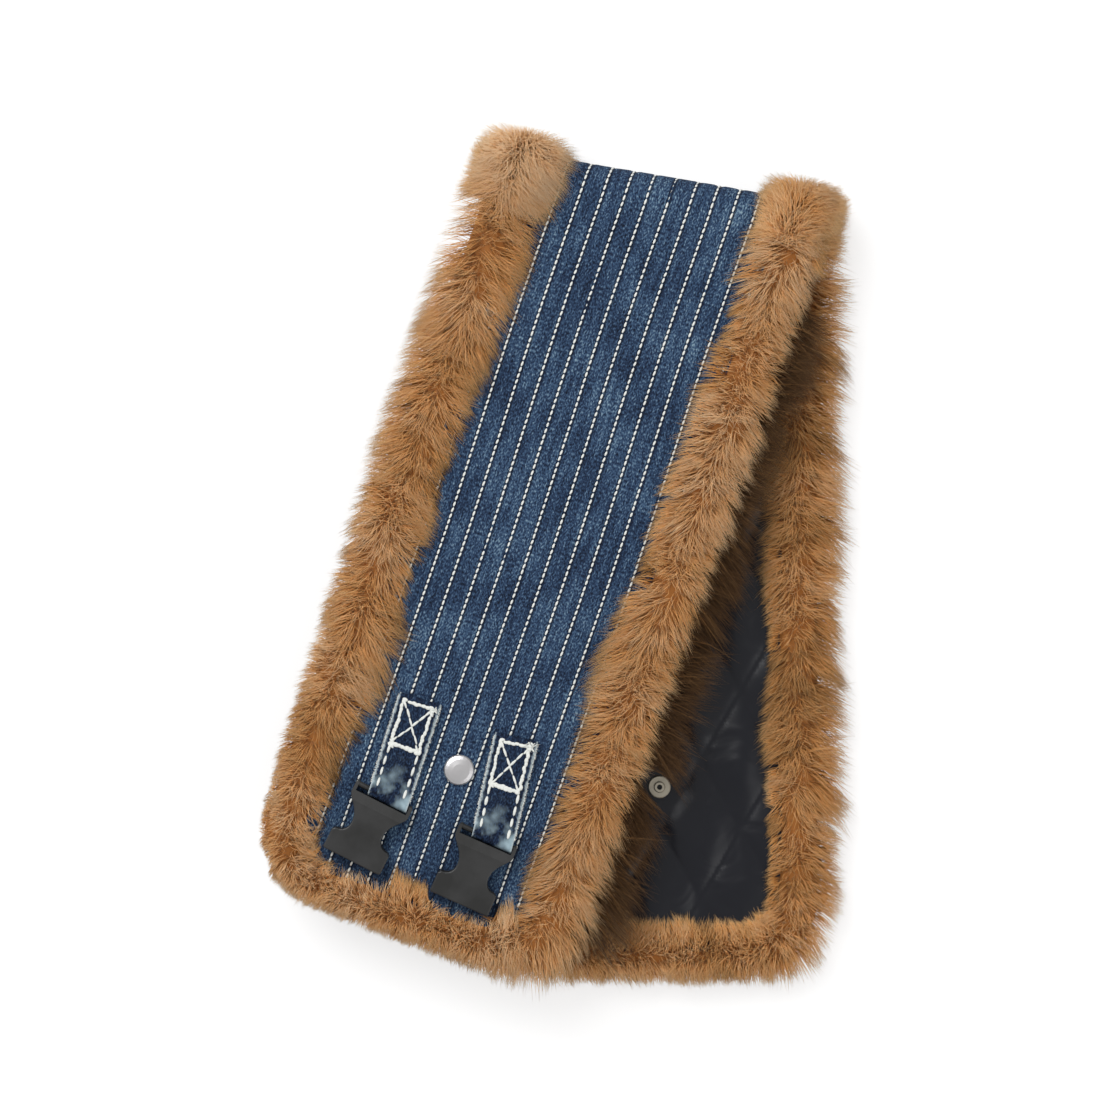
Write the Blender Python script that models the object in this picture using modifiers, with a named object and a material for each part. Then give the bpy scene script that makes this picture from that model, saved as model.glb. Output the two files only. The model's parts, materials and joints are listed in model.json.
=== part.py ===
"""A fur-trimmed denim band, quilted inside and folded once to make a hand warmer muff.

Metres, +Z up. The muff lies flat: the rear half underneath, the front half folded over it, denim up.
Both halves are cut alike, so every sewn piece is made once, in the front half's place, and the rear
half is that same cut turned half a turn about a level line square to the fold.
"""

import math

import bmesh
import bpy
from mathutils import Matrix, Vector
from mathutils.geometry import interpolate_bezier

MM = 0.001

# The band and its fold
FOLD_SKEW = math.radians(9.7)
PANEL_HALF_WIDTH = 75.4 * MM
PANEL_LENGTH = 432.0 * MM
PANEL_CORNER = 29.4 * MM
LAYER_SPACE = 5.0 * MM
CLEARANCE = 0.3 * MM

# The sewn layers
DENIM_THICK = 1.0 * MM
WADDING_THICK = 5.0 * MM
LINING_THICK = 0.6 * MM
QUILT_PUFF = 1.8 * MM
QUILT_COLUMN = 11.3 * MM
QUILT_ROW = 19.2 * MM
QUILT_COLUMNS = 5

# The fur binding: half height, and its reach in over the panel and out past the panel's edge
FUR_RISE = 12.0 * MM
FUR_FLAT = 4.0 * MM
SIDE_FUR_IN = 18.5 * MM
SIDE_FUR_OUT = 20.0 * MM
END_FUR_IN = 12.5 * MM
END_FUR_OUT = 16.0 * MM
FUR_SLOT_ROOM = 0.6 * MM
MITRE_ROOM = 0.01

# The loop straps
STRAP_WIDTH = 23.5 * MM
STRAP_PLY = 1.4 * MM
STRAP_PITCH = 56.8 * MM
SOCKET_STRAP_RUN = 57.0 * MM
PLUG_STRAP_RUN = 49.0 * MM
STRAP_CLOSE = 14.0 * MM
STRAP_EYE = 11.2 * MM
STRAP_WRAP = math.radians(100)

# How a strap and its buckle lie, for the strap on the -x side and the one on the +x side: the strap's lean
# and the buckle's turn, both towards +x at the free end, the strap's shift along the bar, and its drop
FRONT_LIE = {
    -1: {"lean": math.radians(1.5), "turn": math.radians(-7.5), "aside": 2.6 * MM, "drop": 0.0},
    1: {"lean": math.radians(6.0), "turn": math.radians(-4.6), "aside": 2.6 * MM, "drop": 2.6 * MM},
}
REAR_LIE = {
    -1: {"lean": math.radians(-4.0), "turn": math.radians(-4.0), "aside": 0.0, "drop": 0.0},
    1: {"lean": 0.0, "turn": 0.0, "aside": 0.0, "drop": 0.0},
}

# The buckles, measured from the axis of the bar that the strap loops round
BAR_RADIUS = 1.6 * MM
EAR_TIP = 2.0 * MM
EAR_HALF_WIDTH = 17.2 * MM
BAR_SPAN = 30.6 * MM
SLOT_EDGE = 3.7 * MM
SOCKET_LENGTH = 39.5 * MM
SOCKET_HALF_THICK = 4.6 * MM
SOCKET_SHOULDER = 5.2 * MM
SOCKET_NECK_DROP = 1.05 * MM
WAIST_HALF_WIDTH = 9.4 * MM
WAIST_AT = 19.8 * MM
COLLAR_AT = 26.8 * MM
COLLAR_HALF_WIDTH = 17.4 * MM
SOCKET_WALL = 1.9 * MM
CAVITY_DEPTH = 27.0 * MM
MOULD_EDGE = 0.7 * MM
PLUG_HALF_THICK = 3.4 * MM
PLUG_BASE = 17.0 * MM
GUIDE_HALF_WIDTH = 3.6 * MM
GUIDE_LENGTH = 34.0 * MM
ARM_ROOT_X = 11.0 * MM
ARM_ROOT_RADIUS = 2.1 * MM
ARM_LENGTH = 23.5 * MM
ARM_BARB_OUT = 5.4 * MM
ARM_HALF_THICK = 2.4 * MM
BUCKLE_ROOM = 6.6 * MM

# The snap fastener
CAP_X = 4.5 * MM
CAP_BELOW_STRAPS = 30.0 * MM
STUD_X = 0.0
STUD_BELOW_STRAPS = 23.0 * MM
CAP_RADIUS = 8.4 * MM
CAP_RISE = 2.6 * MM
POST_RADIUS = 2.2 * MM
FLANGE_RADIUS = 6.3 * MM
FLANGE_THICK = 0.9 * MM
SOCKET_RISE = 4.2 * MM
STUD_RADIUS = 3.1 * MM
STUD_RISE = 3.4 * MM
STUD_BORE = 1.5 * MM
SPRING_WIRE = 0.4 * MM

# How finely round forms are cut
FOLD_STEPS = 4
CORNER_STEPS = 3
FUR_STEPS = 4
TURN_STEPS = 24
CURVE_STEPS = 7
FUR_SHADE = math.radians(50)
MOULD_SHADE = math.radians(40)

# Heights above the band's mid-surface, counted towards the denim
WADDING_FACE = WADDING_THICK / 2
DENIM_BACK = WADDING_FACE + CLEARANCE
DENIM_FACE = DENIM_BACK + DENIM_THICK
LINING_BACK = -WADDING_FACE - CLEARANCE
LINING_FACE = LINING_BACK - LINING_THICK

# Places along the band, worked back from the end fur's lip
END_FUR_LIP = PANEL_LENGTH + FUR_SLOT_ROOM - END_FUR_IN
STRAP_TOP = END_FUR_LIP - BUCKLE_ROOM - SOCKET_LENGTH - SOCKET_STRAP_RUN
CAP_Y = -STRAP_TOP - CAP_BELOW_STRAPS
STUD_Y = -STRAP_TOP - STUD_BELOW_STRAPS

# How high the buckles' bars ride above the denim
SOCKET_RIDE = CLEARANCE + SOCKET_HALF_THICK
PLUG_RIDE = CLEARANCE + PLUG_HALF_THICK

# The fold: a half round about a level axis, parted halfway so that each half keeps a quarter
FOLD_RADIUS = FUR_RISE + LAYER_SPACE / 2
FOLD_LEVEL = FUR_RISE + FOLD_RADIUS + CLEARANCE / 2
FRONT_LEVEL = FOLD_LEVEL + CLEARANCE / 2 + FOLD_RADIUS
ALONG_FOLD = Vector((math.cos(FOLD_SKEW), math.sin(FOLD_SKEW), 0.0))
ACROSS_FOLD = Vector((-math.sin(FOLD_SKEW), math.cos(FOLD_SKEW), 0.0))
FOLD_FOOT = -ACROSS_FOLD * (FOLD_RADIUS + DENIM_FACE)
FOLD_CENTRE = FOLD_FOOT + Vector((0.0, 0.0, FOLD_LEVEL))
HINGE = FOLD_CENTRE + ACROSS_FOLD * (FOLD_RADIUS + FUR_RISE + CLEARANCE)


def clear_scene():
    for old in list(bpy.data.objects):
        bpy.data.objects.remove(old, do_unlink=True)


def new_collection(name):
    collection = bpy.data.collections.new(name)
    bpy.context.scene.collection.children.link(collection)
    return collection


clear_scene()
PARTS = new_collection("hand_warmer_muff")
CUTTERS = new_collection("cutters")


def finish(name, colour, roughness, metallic=0.0):
    material = bpy.data.materials.new(name)
    material.use_nodes = True
    shader = material.node_tree.nodes["Principled BSDF"]
    shader.inputs["Base Color"].default_value = (*colour, 1.0)
    shader.inputs["Roughness"].default_value = roughness
    shader.inputs["Metallic"].default_value = metallic
    return material


FUR = finish("golden_brown_fur", (0.45, 0.23, 0.08), 0.9)
DENIM = finish("indigo_denim", (0.03, 0.06, 0.16), 0.85)
WADDING = finish("white_wadding", (0.75, 0.74, 0.70), 0.95)
SATIN = finish("navy_satin", (0.012, 0.014, 0.028), 0.4)
STRAP_DENIM = finish("dark_denim_strap", (0.02, 0.035, 0.09), 0.85)
ACETAL = finish("charcoal_acetal", (0.03, 0.03, 0.032), 0.45)
CAP_METAL = finish("pale_nickel", (0.55, 0.54, 0.56), 0.3, 1.0)
STUD_METAL = finish("antique_nickel", (0.35, 0.33, 0.30), 0.4, 1.0)
SPRING_STEEL = finish("spring_steel", (0.6, 0.6, 0.6), 0.3, 1.0)


def empty(name, matrix, parent=None):
    holder = bpy.data.objects.new(name, None)
    PARTS.objects.link(holder)
    holder.parent = parent
    holder.matrix_local = matrix
    return holder


def add(name, mesh, material, half, place=Matrix.Identity(4), smooth_angle=None):
    """Put a mesh on one half of the band, placed in the front half's coordinates."""
    part = bpy.data.objects.new(name, mesh)
    PARTS.objects.link(part)
    mesh.materials.append(material)
    part.parent = half["holder"]
    part.matrix_parent_inverse = half["to_holder"]
    part.matrix_basis = place
    if smooth_angle:
        mesh.shade_smooth()
        mesh.set_sharp_from_angle(angle=smooth_angle)
    return part


def to_mesh(bm, name):
    bmesh.ops.recalc_face_normals(bm, faces=bm.faces[:])
    mesh = bpy.data.meshes.new(name)
    bm.to_mesh(mesh)
    bm.free()
    return mesh


def cut(part, cutter, operation="DIFFERENCE"):
    step = part.modifiers.new(cutter.name, "BOOLEAN")
    step.operation = operation
    step.object = cutter
    step.solver = "EXACT"


def as_cutter(cutter):
    for collection in list(cutter.users_collection):
        collection.objects.unlink(cutter)
    CUTTERS.objects.link(cutter)
    cutter.hide_render = True
    cutter.display_type = "WIRE"
    return cutter


# The band: flat-cut coordinates, wrapped round the fold


def on_band(x, y, h):
    """Where the flat-cut point (x, y), h above the mid-surface, lies on the front half."""
    from_axis = Vector((x, y, 0.0)) - FOLD_FOOT
    past = from_axis.dot(ACROSS_FOLD)
    if past <= 0.0:
        return Vector((x, y, FRONT_LEVEL + h))
    turn = past / FOLD_RADIUS
    reach = FOLD_RADIUS + h
    foot = FOLD_FOOT + ALONG_FOLD * from_axis.dot(ALONG_FOLD)
    foot.z = FRONT_LEVEL - FOLD_RADIUS + reach * math.cos(turn)
    return foot + ACROSS_FOLD * reach * math.sin(turn)


def fold_line(x, past):
    """The flat-cut y at x, on the line that lies `past` beyond the start of the fold."""
    return FOLD_FOOT.y + (past + math.sin(FOLD_SKEW) * (x - FOLD_FOOT.x)) / math.cos(FOLD_SKEW)


def fold_stations():
    quarter = FOLD_RADIUS * math.pi / 2
    return [quarter * step / FOLD_STEPS for step in range(FOLD_STEPS + 1)]


def panel_rows(columns, row_step):
    """Flat-cut points of the panel, row by row from its rounded end to the crest of the fold."""
    rows = []
    for step in range(CORNER_STEPS + 1):
        turn = math.pi / 2 * step / CORNER_STEPS
        narrow = 1 - PANEL_CORNER * (1 - math.sin(turn)) / PANEL_HALF_WIDTH
        y = -PANEL_LENGTH + PANEL_CORNER * (1 - math.cos(turn))
        rows.append([(x * narrow, y) for x in columns])
    start = -PANEL_LENGTH + PANEL_CORNER
    stop = fold_line(-PANEL_HALF_WIDTH, 0.0) - QUILT_ROW / 4
    count = max(1, round((stop - start) / row_step))
    for step in range(1, count + 1):
        rows.append([(x, start + (stop - start) * step / count) for x in columns])
    for past in fold_stations():
        rows.append([(x, fold_line(x, past)) for x in columns])
    return rows


def layer(name, columns, row_step, low, high, material, half):
    """A closed sheet over the panel's grid, from height low(column, row) to high(column, row)."""
    rows = panel_rows(columns, row_step)
    bm = bmesh.new()
    across = len(columns) - 1
    along = len(rows) - 1
    bmesh.ops.create_grid(bm, x_segments=across, y_segments=along, size=1.0)
    for vertex in bm.verts:
        column = round((vertex.co.x + 1) / 2 * across)
        row = round((vertex.co.y + 1) / 2 * along)
        vertex.co = (column, row, 0.0)
    mitred = [v for v in bm.verts if round(v.co.x - across / 2 + v.co.y - CORNER_STEPS) % 2 == 0]
    bmesh.ops.connect_verts(bm, verts=mitred)
    raised = bmesh.ops.extrude_face_region(bm, geom=bm.faces[:], use_keep_orig=True)
    upper = {v for v in raised["geom"] if isinstance(v, bmesh.types.BMVert)}
    for vertex in bm.verts:
        column, row = round(vertex.co.x), round(vertex.co.y)
        height = high if vertex in upper else low
        vertex.co = on_band(*rows[row][column], height(column, row, rows))
    return add(name, to_mesh(bm, name), material, half)


def quilt_columns():
    inner = [QUILT_COLUMN * step for step in range(-QUILT_COLUMNS, QUILT_COLUMNS + 1)]
    return [-PANEL_HALF_WIDTH] + inner + [PANEL_HALF_WIDTH]


def puff(half, column, row, rows):
    """Swell of the diamond quilting: none on the sewn lines, at the edges, the fold and the snap."""
    x, y = rows[row][column]
    side = column - QUILT_COLUMNS - 1
    step = row - CORNER_STEPS
    last_straight = len(rows) - FOLD_STEPS - 2
    snap_x, snap_y = half["snap"]
    by_snap = abs(x - snap_x) < QUILT_COLUMN + FLANGE_RADIUS and abs(y - snap_y) < QUILT_ROW + FLANGE_RADIUS
    if abs(side) >= QUILT_COLUMNS or row <= CORNER_STEPS or row >= last_straight or by_snap:
        return 0.0
    return QUILT_PUFF * abs(math.cos(math.pi / 2 * side) + math.cos(math.pi / 2 * step)) / 2


def make_layers(half):
    name = half["name"]
    edges = [-PANEL_HALF_WIDTH, PANEL_HALF_WIDTH]
    quilt = quilt_columns()
    shell = layer(
        f"{name}_denim_shell", edges, PANEL_LENGTH,
        lambda i, j, rows: DENIM_BACK, lambda i, j, rows: DENIM_FACE, DENIM, half,
    )
    filling = layer(
        f"{name}_wadding", quilt, QUILT_ROW,
        lambda i, j, rows: -WADDING_FACE - puff(half, i, j, rows),
        lambda i, j, rows: WADDING_FACE, WADDING, half,
    )
    lining = layer(
        f"{name}_quilted_lining", quilt, QUILT_ROW,
        lambda i, j, rows: LINING_FACE - puff(half, i, j, rows),
        lambda i, j, rows: LINING_BACK - puff(half, i, j, rows), SATIN, half,
    )
    hole = snap_hole(half)
    for sheet in (shell, filling, lining):
        cut(sheet, hole)


# The fur binding: a plump roll, slotted to take the panel's edge


def fur_section(inward, outward):
    """Outline of the roll, as (distance out from the panel's edge, height)."""
    slot_top = DENIM_FACE + CLEARANCE
    slot_bottom = LINING_FACE - CLEARANCE
    quarter = [math.pi / 2 * step / FUR_STEPS for step in range(FUR_STEPS + 1)]
    upper_in = [
        (-FUR_FLAT - (inward - FUR_FLAT) * math.cos(a), slot_top + (FUR_RISE - slot_top) * math.sin(a))
        for a in quarter
    ]
    upper_out = [(FUR_FLAT + (outward - FUR_FLAT) * math.sin(a), FUR_RISE * math.cos(a)) for a in quarter]
    lower_out = [(out, -rise) for out, rise in reversed(upper_out[:-1])]
    lower_in = [
        (-FUR_FLAT - (inward - FUR_FLAT) * math.sin(a), slot_bottom - (FUR_RISE + slot_bottom) * math.cos(a))
        for a in quarter
    ]
    return upper_in + upper_out + lower_out + lower_in + [(0.0, slot_bottom), (0.0, slot_top)]


def corner_station(side, turn):
    """A section on the rounded corner; turn runs from 0 at the end to a right angle at the side."""
    centre = Vector((side * (PANEL_HALF_WIDTH - PANEL_CORNER), -PANEL_LENGTH + PANEL_CORNER))
    ray = Vector((side * math.sin(turn), -math.cos(turn)))
    share = turn / (math.pi / 2)
    inward = END_FUR_IN + (SIDE_FUR_IN - END_FUR_IN) * share
    outward = END_FUR_OUT + (SIDE_FUR_OUT - END_FUR_OUT) * share
    radius = PANEL_CORNER + FUR_SLOT_ROOM

    def place(out):
        return centre + ray * (radius + out)

    return place, inward, outward


def fold_station(side, past):
    """A section of the side strip on a line parallel to the fold."""

    def place(out):
        x = side * (PANEL_HALF_WIDTH + FUR_SLOT_ROOM + out)
        return Vector((x, fold_line(x, past)))

    return place, SIDE_FUR_IN, SIDE_FUR_OUT


def corner_turns(start, stop):
    return [start + (stop - start) * step / CORNER_STEPS for step in range(CORNER_STEPS + 1)]


def fur_roll(name, stations, half):
    bm = bmesh.new()
    rings = []
    for place, inward, outward in stations:
        ring = [bm.verts.new(on_band(*place(out), rise)) for out, rise in fur_section(inward, outward)]
        rings.append(ring)
    count = len(rings[0])
    for ring, following in zip(rings, rings[1:]):
        for k in range(count):
            bm.faces.new((ring[k], ring[(k + 1) % count], following[(k + 1) % count], following[k]))
    bm.faces.new(rings[0])
    bm.faces.new(rings[-1])
    return add(name, to_mesh(bm, name), FUR, half, smooth_angle=FUR_SHADE)


def make_fur(half):
    mitre = math.pi / 4
    for side in (-1, 1):
        turns = corner_turns(mitre + MITRE_ROOM, math.pi / 2)
        stations = [corner_station(side, turn) for turn in turns]
        stations += [fold_station(side, past) for past in fold_stations()]
        fur_roll(f"{half['name']}_fur_{half['sides'][side]}", stations, half)
    turns = corner_turns(mitre - MITRE_ROOM, 0.0)
    stations = [corner_station(-1, turn) for turn in turns]
    stations += [corner_station(1, turn) for turn in reversed(turns)]
    fur_roll(f"{half['name']}_fur_end", stations, half)


# Outlines drawn flat, then given a thickness


def flat_solid(name, loops, half_thick, edge=0.0):
    """A mesh of flat outlines, inner loops being holes, thickened both ways, with rounded rims."""
    curve = bpy.data.curves.new(name, "CURVE")
    curve.dimensions = "2D"
    curve.fill_mode = "BOTH"
    curve.extrude = half_thick - edge
    curve.bevel_depth = edge
    curve.bevel_resolution = 1
    curve.offset = -edge
    for points in loops:
        spline = curve.splines.new("POLY")
        spline.points.add(len(points) - 1)
        spline.use_cyclic_u = True
        for knot, (x, y) in zip(spline.points, points):
            knot.co = (x, y, 0.0, 1.0)
    drawn = bpy.data.objects.new(name, curve)
    bpy.context.scene.collection.objects.link(drawn)
    bpy.context.view_layer.update()
    shape = drawn.evaluated_get(bpy.context.evaluated_depsgraph_get())
    mesh = bpy.data.meshes.new_from_object(shape)
    bpy.data.objects.remove(drawn)
    bm = bmesh.new()
    bm.from_mesh(mesh)
    bpy.data.meshes.remove(mesh)
    bmesh.ops.remove_doubles(bm, verts=bm.verts[:], dist=0.001 * MM)
    return to_mesh(bm, name)


def arc(centre, radius, start, stop, steps):
    angles = [start + (stop - start) * step / steps for step in range(steps + 1)]
    return [(centre[0] + radius * math.cos(a), centre[1] + radius * math.sin(a)) for a in angles]


def sweep(start, start_handle, stop_handle, stop):
    points = interpolate_bezier(
        Vector((*start, 0.0)), Vector((*start_handle, 0.0)), Vector((*stop_handle, 0.0)),
        Vector((*stop, 0.0)), CURVE_STEPS,
    )
    return [(point.x, point.y) for point in points]


def mirrored(outline):
    """Close a right-hand outline, drawn from tail to head, with its mirror image."""
    return outline + [(-x, y) for x, y in reversed(outline)]


# A side profile's own x and y become the part's length and height, its thickness the part's width
SIDE_ON = Matrix(((0, 0, 1, 0), (1, 0, 0, 0), (0, 1, 0, 0), (0, 0, 0, 1)))


# The loop straps


def buckle_frame(half, side, rise, run):
    """Where a strap's bar lies: x across, y from the bar towards the band's end, z up off the denim."""
    lie = half["lie"][side]
    x = side * STRAP_PITCH / 2 + run * math.sin(lie["lean"]) - lie["aside"]
    y = -STRAP_TOP - lie["drop"] - run * math.cos(lie["lean"])
    place = Matrix.Translation((x, y, FRONT_LEVEL + DENIM_FACE + rise))
    return place @ Matrix.Rotation(math.pi + lie["turn"], 4, "Z")


def strap_loops(rise, run):
    """Side profile of a strap doubled round the bar and sewn down flat, and of the eye in its loop."""
    outer = BAR_RADIUS + CLEARANCE + STRAP_PLY
    inner = BAR_RADIUS + CLEARANCE
    bottom = CLEARANCE - rise
    rim = arc((0.0, 0.0), outer, -STRAP_WRAP, STRAP_WRAP, 2 * CURVE_STEPS)
    strap = [(-run, bottom), (-STRAP_CLOSE / 2, bottom)] + rim
    strap += [(-STRAP_CLOSE, bottom + 2 * STRAP_PLY), (-run, bottom + 2 * STRAP_PLY)]
    eye = arc((0.0, 0.0), inner, -STRAP_WRAP, STRAP_WRAP, 2 * CURVE_STEPS)
    eye += [(-STRAP_EYE, bottom + STRAP_PLY)]
    return [strap, eye]


def make_straps(half, rise, run):
    for side in (-1, 1):
        name = f"{half['name']}_strap_{half['sides'][side]}"
        lie = half["lie"][side]
        slant = lie["lean"] - lie["turn"]
        mesh = flat_solid(name, strap_loops(rise, run * math.cos(slant)), STRAP_WIDTH / 2)
        mesh.transform(SIDE_ON)
        askew = Matrix.Translation((-lie["aside"], 0.0, 0.0))
        askew[0][1] = -math.tan(slant)
        mesh.transform(askew)
        add(name, mesh, STRAP_DENIM, half, buckle_frame(half, side, rise, run))


# The side-release buckles


def box_cutter(name, low, high, frame, half):
    bm = bmesh.new()
    bmesh.ops.create_cube(bm, size=1.0)
    middle = (Vector(low) + Vector(high)) / 2
    span = Vector(high) - Vector(low)
    bmesh.ops.scale(bm, vec=span, verts=bm.verts[:])
    bmesh.ops.translate(bm, vec=middle, verts=bm.verts[:])
    return as_cutter(add(name, to_mesh(bm, name), ACETAL, half, frame))


def bar_tool(name, frame, half):
    """The round bar between a buckle's ears, ending inside them."""
    bm = bmesh.new()
    length = BAR_SPAN / 2 + EAR_HALF_WIDTH
    bmesh.ops.create_cone(
        bm, cap_ends=True, segments=TURN_STEPS // 2, radius1=BAR_RADIUS, radius2=BAR_RADIUS, depth=length,
        matrix=Matrix.Rotation(math.pi / 2, 4, "Y"),
    )
    return as_cutter(add(name, to_mesh(bm, name), ACETAL, half, frame))


def socket_plan():
    ear = [(BAR_SPAN / 2, -EAR_TIP), (EAR_HALF_WIDTH - MOULD_EDGE, -EAR_TIP), (EAR_HALF_WIDTH, 0.0)]
    shoulder = (EAR_HALF_WIDTH, SOCKET_SHOULDER)
    waist = (WAIST_HALF_WIDTH, WAIST_AT)
    collar = (COLLAR_HALF_WIDTH - 2 * MOULD_EDGE, COLLAR_AT)
    drop = (WAIST_AT - SOCKET_SHOULDER) / 2
    flank = sweep(
        shoulder, (EAR_HALF_WIDTH - MOULD_EDGE, SOCKET_SHOULDER + drop / 2),
        (WAIST_HALF_WIDTH, WAIST_AT - drop), waist,
    )
    hook = sweep(
        waist, (WAIST_HALF_WIDTH, WAIST_AT + drop / 2),
        ((WAIST_HALF_WIDTH + COLLAR_HALF_WIDTH) / 2 - drop / 3, COLLAR_AT), collar,
    )
    mouth = [
        (COLLAR_HALF_WIDTH, COLLAR_AT + 2 * MOULD_EDGE),
        (COLLAR_HALF_WIDTH, SOCKET_LENGTH - MOULD_EDGE),
        (COLLAR_HALF_WIDTH - MOULD_EDGE, SOCKET_LENGTH),
    ]
    slot = [(BAR_SPAN / 2, SLOT_EDGE)]
    return mirrored(slot + ear + flank + hook[1:] + mouth)


def socket_side():
    """Side profile: thin round the bar, full from the waist to the mouth."""
    nose = arc((0.0, 0.0), EAR_TIP, math.pi / 2, math.pi, CURVE_STEPS // 2)
    neck = SOCKET_HALF_THICK - SOCKET_NECK_DROP
    top = [(SOCKET_LENGTH, SOCKET_HALF_THICK), (SLOT_EDGE + SOCKET_SHOULDER, SOCKET_HALF_THICK)]
    top += [(SLOT_EDGE, neck)]
    return top + nose + [(y, -z) for y, z in reversed(top + nose[:-1])]


def side_block(name, outline, frame, half):
    mesh = flat_solid(name, [outline], COLLAR_HALF_WIDTH * 2)
    mesh.transform(SIDE_ON)
    return as_cutter(add(name, mesh, ACETAL, half, frame))


def make_sockets(half):
    for side in (-1, 1):
        label = half["sides"][side]
        frame = buckle_frame(half, side, SOCKET_RIDE, SOCKET_STRAP_RUN)
        name = f"buckle_socket_{label}"
        mesh = flat_solid(name, [socket_plan()], SOCKET_HALF_THICK, MOULD_EDGE)
        socket = add(name, mesh, ACETAL, half, frame, MOULD_SHADE)
        cut(socket, side_block(f"socket_side_{label}", socket_side(), frame, half), "INTERSECT")
        hollow_half = COLLAR_HALF_WIDTH - SOCKET_WALL
        hollow_rise = SOCKET_HALF_THICK - SOCKET_WALL
        hollow = box_cutter(
            f"socket_hollow_{label}", (-hollow_half, SOCKET_LENGTH - CAVITY_DEPTH, -hollow_rise),
            (hollow_half, SOCKET_LENGTH + SOCKET_WALL, hollow_rise), frame, half,
        )
        cut(socket, hollow)
        cut(socket, bar_tool(f"socket_bar_{label}", frame, half), "UNION")


def plug_plan():
    ear = [(BAR_SPAN / 2, -EAR_TIP), (EAR_HALF_WIDTH - MOULD_EDGE, -EAR_TIP), (EAR_HALF_WIDTH, 0.0)]
    cheek = [(EAR_HALF_WIDTH, PLUG_BASE - 2 * ARM_ROOT_RADIUS), (EAR_HALF_WIDTH - ARM_ROOT_RADIUS, PLUG_BASE)]
    cup = ARM_ROOT_RADIUS + CLEARANCE
    seat = arc((ARM_ROOT_X, PLUG_BASE), cup, 0.0, -math.pi, CURVE_STEPS)
    tip = [(GUIDE_HALF_WIDTH, PLUG_BASE), (GUIDE_HALF_WIDTH, GUIDE_LENGTH - GUIDE_HALF_WIDTH)]
    nose = arc((0.0, GUIDE_LENGTH - GUIDE_HALF_WIDTH), GUIDE_HALF_WIDTH, 0.0, math.pi / 2, CURVE_STEPS // 2)
    half_outline = [(BAR_SPAN / 2, SLOT_EDGE)] + ear + cheek + seat + tip + nose[1:-1]
    return mirrored(half_outline)


def plug_side():
    nose = arc((0.0, 0.0), EAR_TIP, math.pi / 2, math.pi, CURVE_STEPS // 2)
    thin = ARM_HALF_THICK - MOULD_EDGE
    top = [(GUIDE_LENGTH, thin), (PLUG_BASE + ARM_ROOT_RADIUS, thin), (PLUG_BASE, PLUG_HALF_THICK)]
    top += [(SLOT_EDGE + SOCKET_SHOULDER, PLUG_HALF_THICK), (SLOT_EDGE, PLUG_HALF_THICK - MOULD_EDGE)]
    return top + nose + [(y, -z) for y, z in reversed(top + nose[:-1])]


def arm_plan():
    """Right-hand latch arm, from its root at the origin: a slim beam ending in a hooked head."""
    beam = ARM_ROOT_RADIUS
    root = arc((0.0, 0.0), beam, math.pi, 2 * math.pi, CURVE_STEPS)
    barb_at = SOCKET_LENGTH - COLLAR_AT + CLEARANCE
    head = (ARM_BARB_OUT, barb_at)
    back = (ARM_BARB_OUT - MOULD_EDGE, barb_at + 2 * beam)
    cheek = sweep(back, (ARM_BARB_OUT - beam, ARM_LENGTH - beam), (beam, ARM_LENGTH), (0.0, ARM_LENGTH))
    return root + [(beam, barb_at - MOULD_EDGE), head] + cheek + [(-beam, ARM_LENGTH - beam)]


def make_plugs(half):
    for side in (-1, 1):
        label = half["sides"][side]
        frame = buckle_frame(half, side, PLUG_RIDE, PLUG_STRAP_RUN)
        name = f"buckle_plug_{label}"
        mesh = flat_solid(name, [plug_plan()], PLUG_HALF_THICK, MOULD_EDGE / 2)
        plug = add(name, mesh, ACETAL, half, frame, MOULD_SHADE)
        cut(plug, side_block(f"plug_side_{label}", plug_side(), frame, half), "INTERSECT")
        cut(plug, bar_tool(f"plug_bar_{label}", frame, half), "UNION")
        for hand, word in ((1, "right"), (-1, "left")):
            outline = [(hand * x, y) for x, y in arm_plan()]
            arm_name = f"plug_{label}_arm_{word}"
            mesh = flat_solid(arm_name, [outline], ARM_HALF_THICK, MOULD_EDGE / 2)
            root = Matrix.Translation((hand * ARM_ROOT_X, PLUG_BASE, 0.0))
            add(arm_name, mesh, ACETAL, half, frame @ root, MOULD_SHADE)


# The snap fastener


def turned(name, profile, material, half, base, closed=True):
    """A shape turned about the snap's axis; heights run from the mid-surface level `base`."""
    bm = bmesh.new()
    ring = [bm.verts.new((radius, 0.0, height)) for radius, height in profile]
    for first, second in zip(ring, ring[1:]):
        bm.edges.new((first, second))
    if closed:
        bm.edges.new((ring[-1], ring[0]))
    mesh = bpy.data.meshes.new(name)
    bm.to_mesh(mesh)
    bm.free()
    place = Matrix.Translation((*half["snap"], FRONT_LEVEL + base))
    part = add(name, mesh, material, half, place)
    screw = part.modifiers.new("turn", "SCREW")
    screw.steps = TURN_STEPS
    screw.render_steps = TURN_STEPS
    screw.use_merge_vertices = True
    screw.merge_threshold = 0.00001
    screw.use_smooth_shade = False
    return part


def snap_hole(half):
    radius = POST_RADIUS + CLEARANCE
    reach = 2 * (DENIM_FACE - LINING_FACE)
    hole = turned(
        f"snap_hole_{half['name']}", [(0.0, reach), (radius, reach), (radius, 0.0), (0.0, 0.0)],
        STUD_METAL, half, -reach / 2, closed=False,
    )
    return as_cutter(hole)


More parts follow.
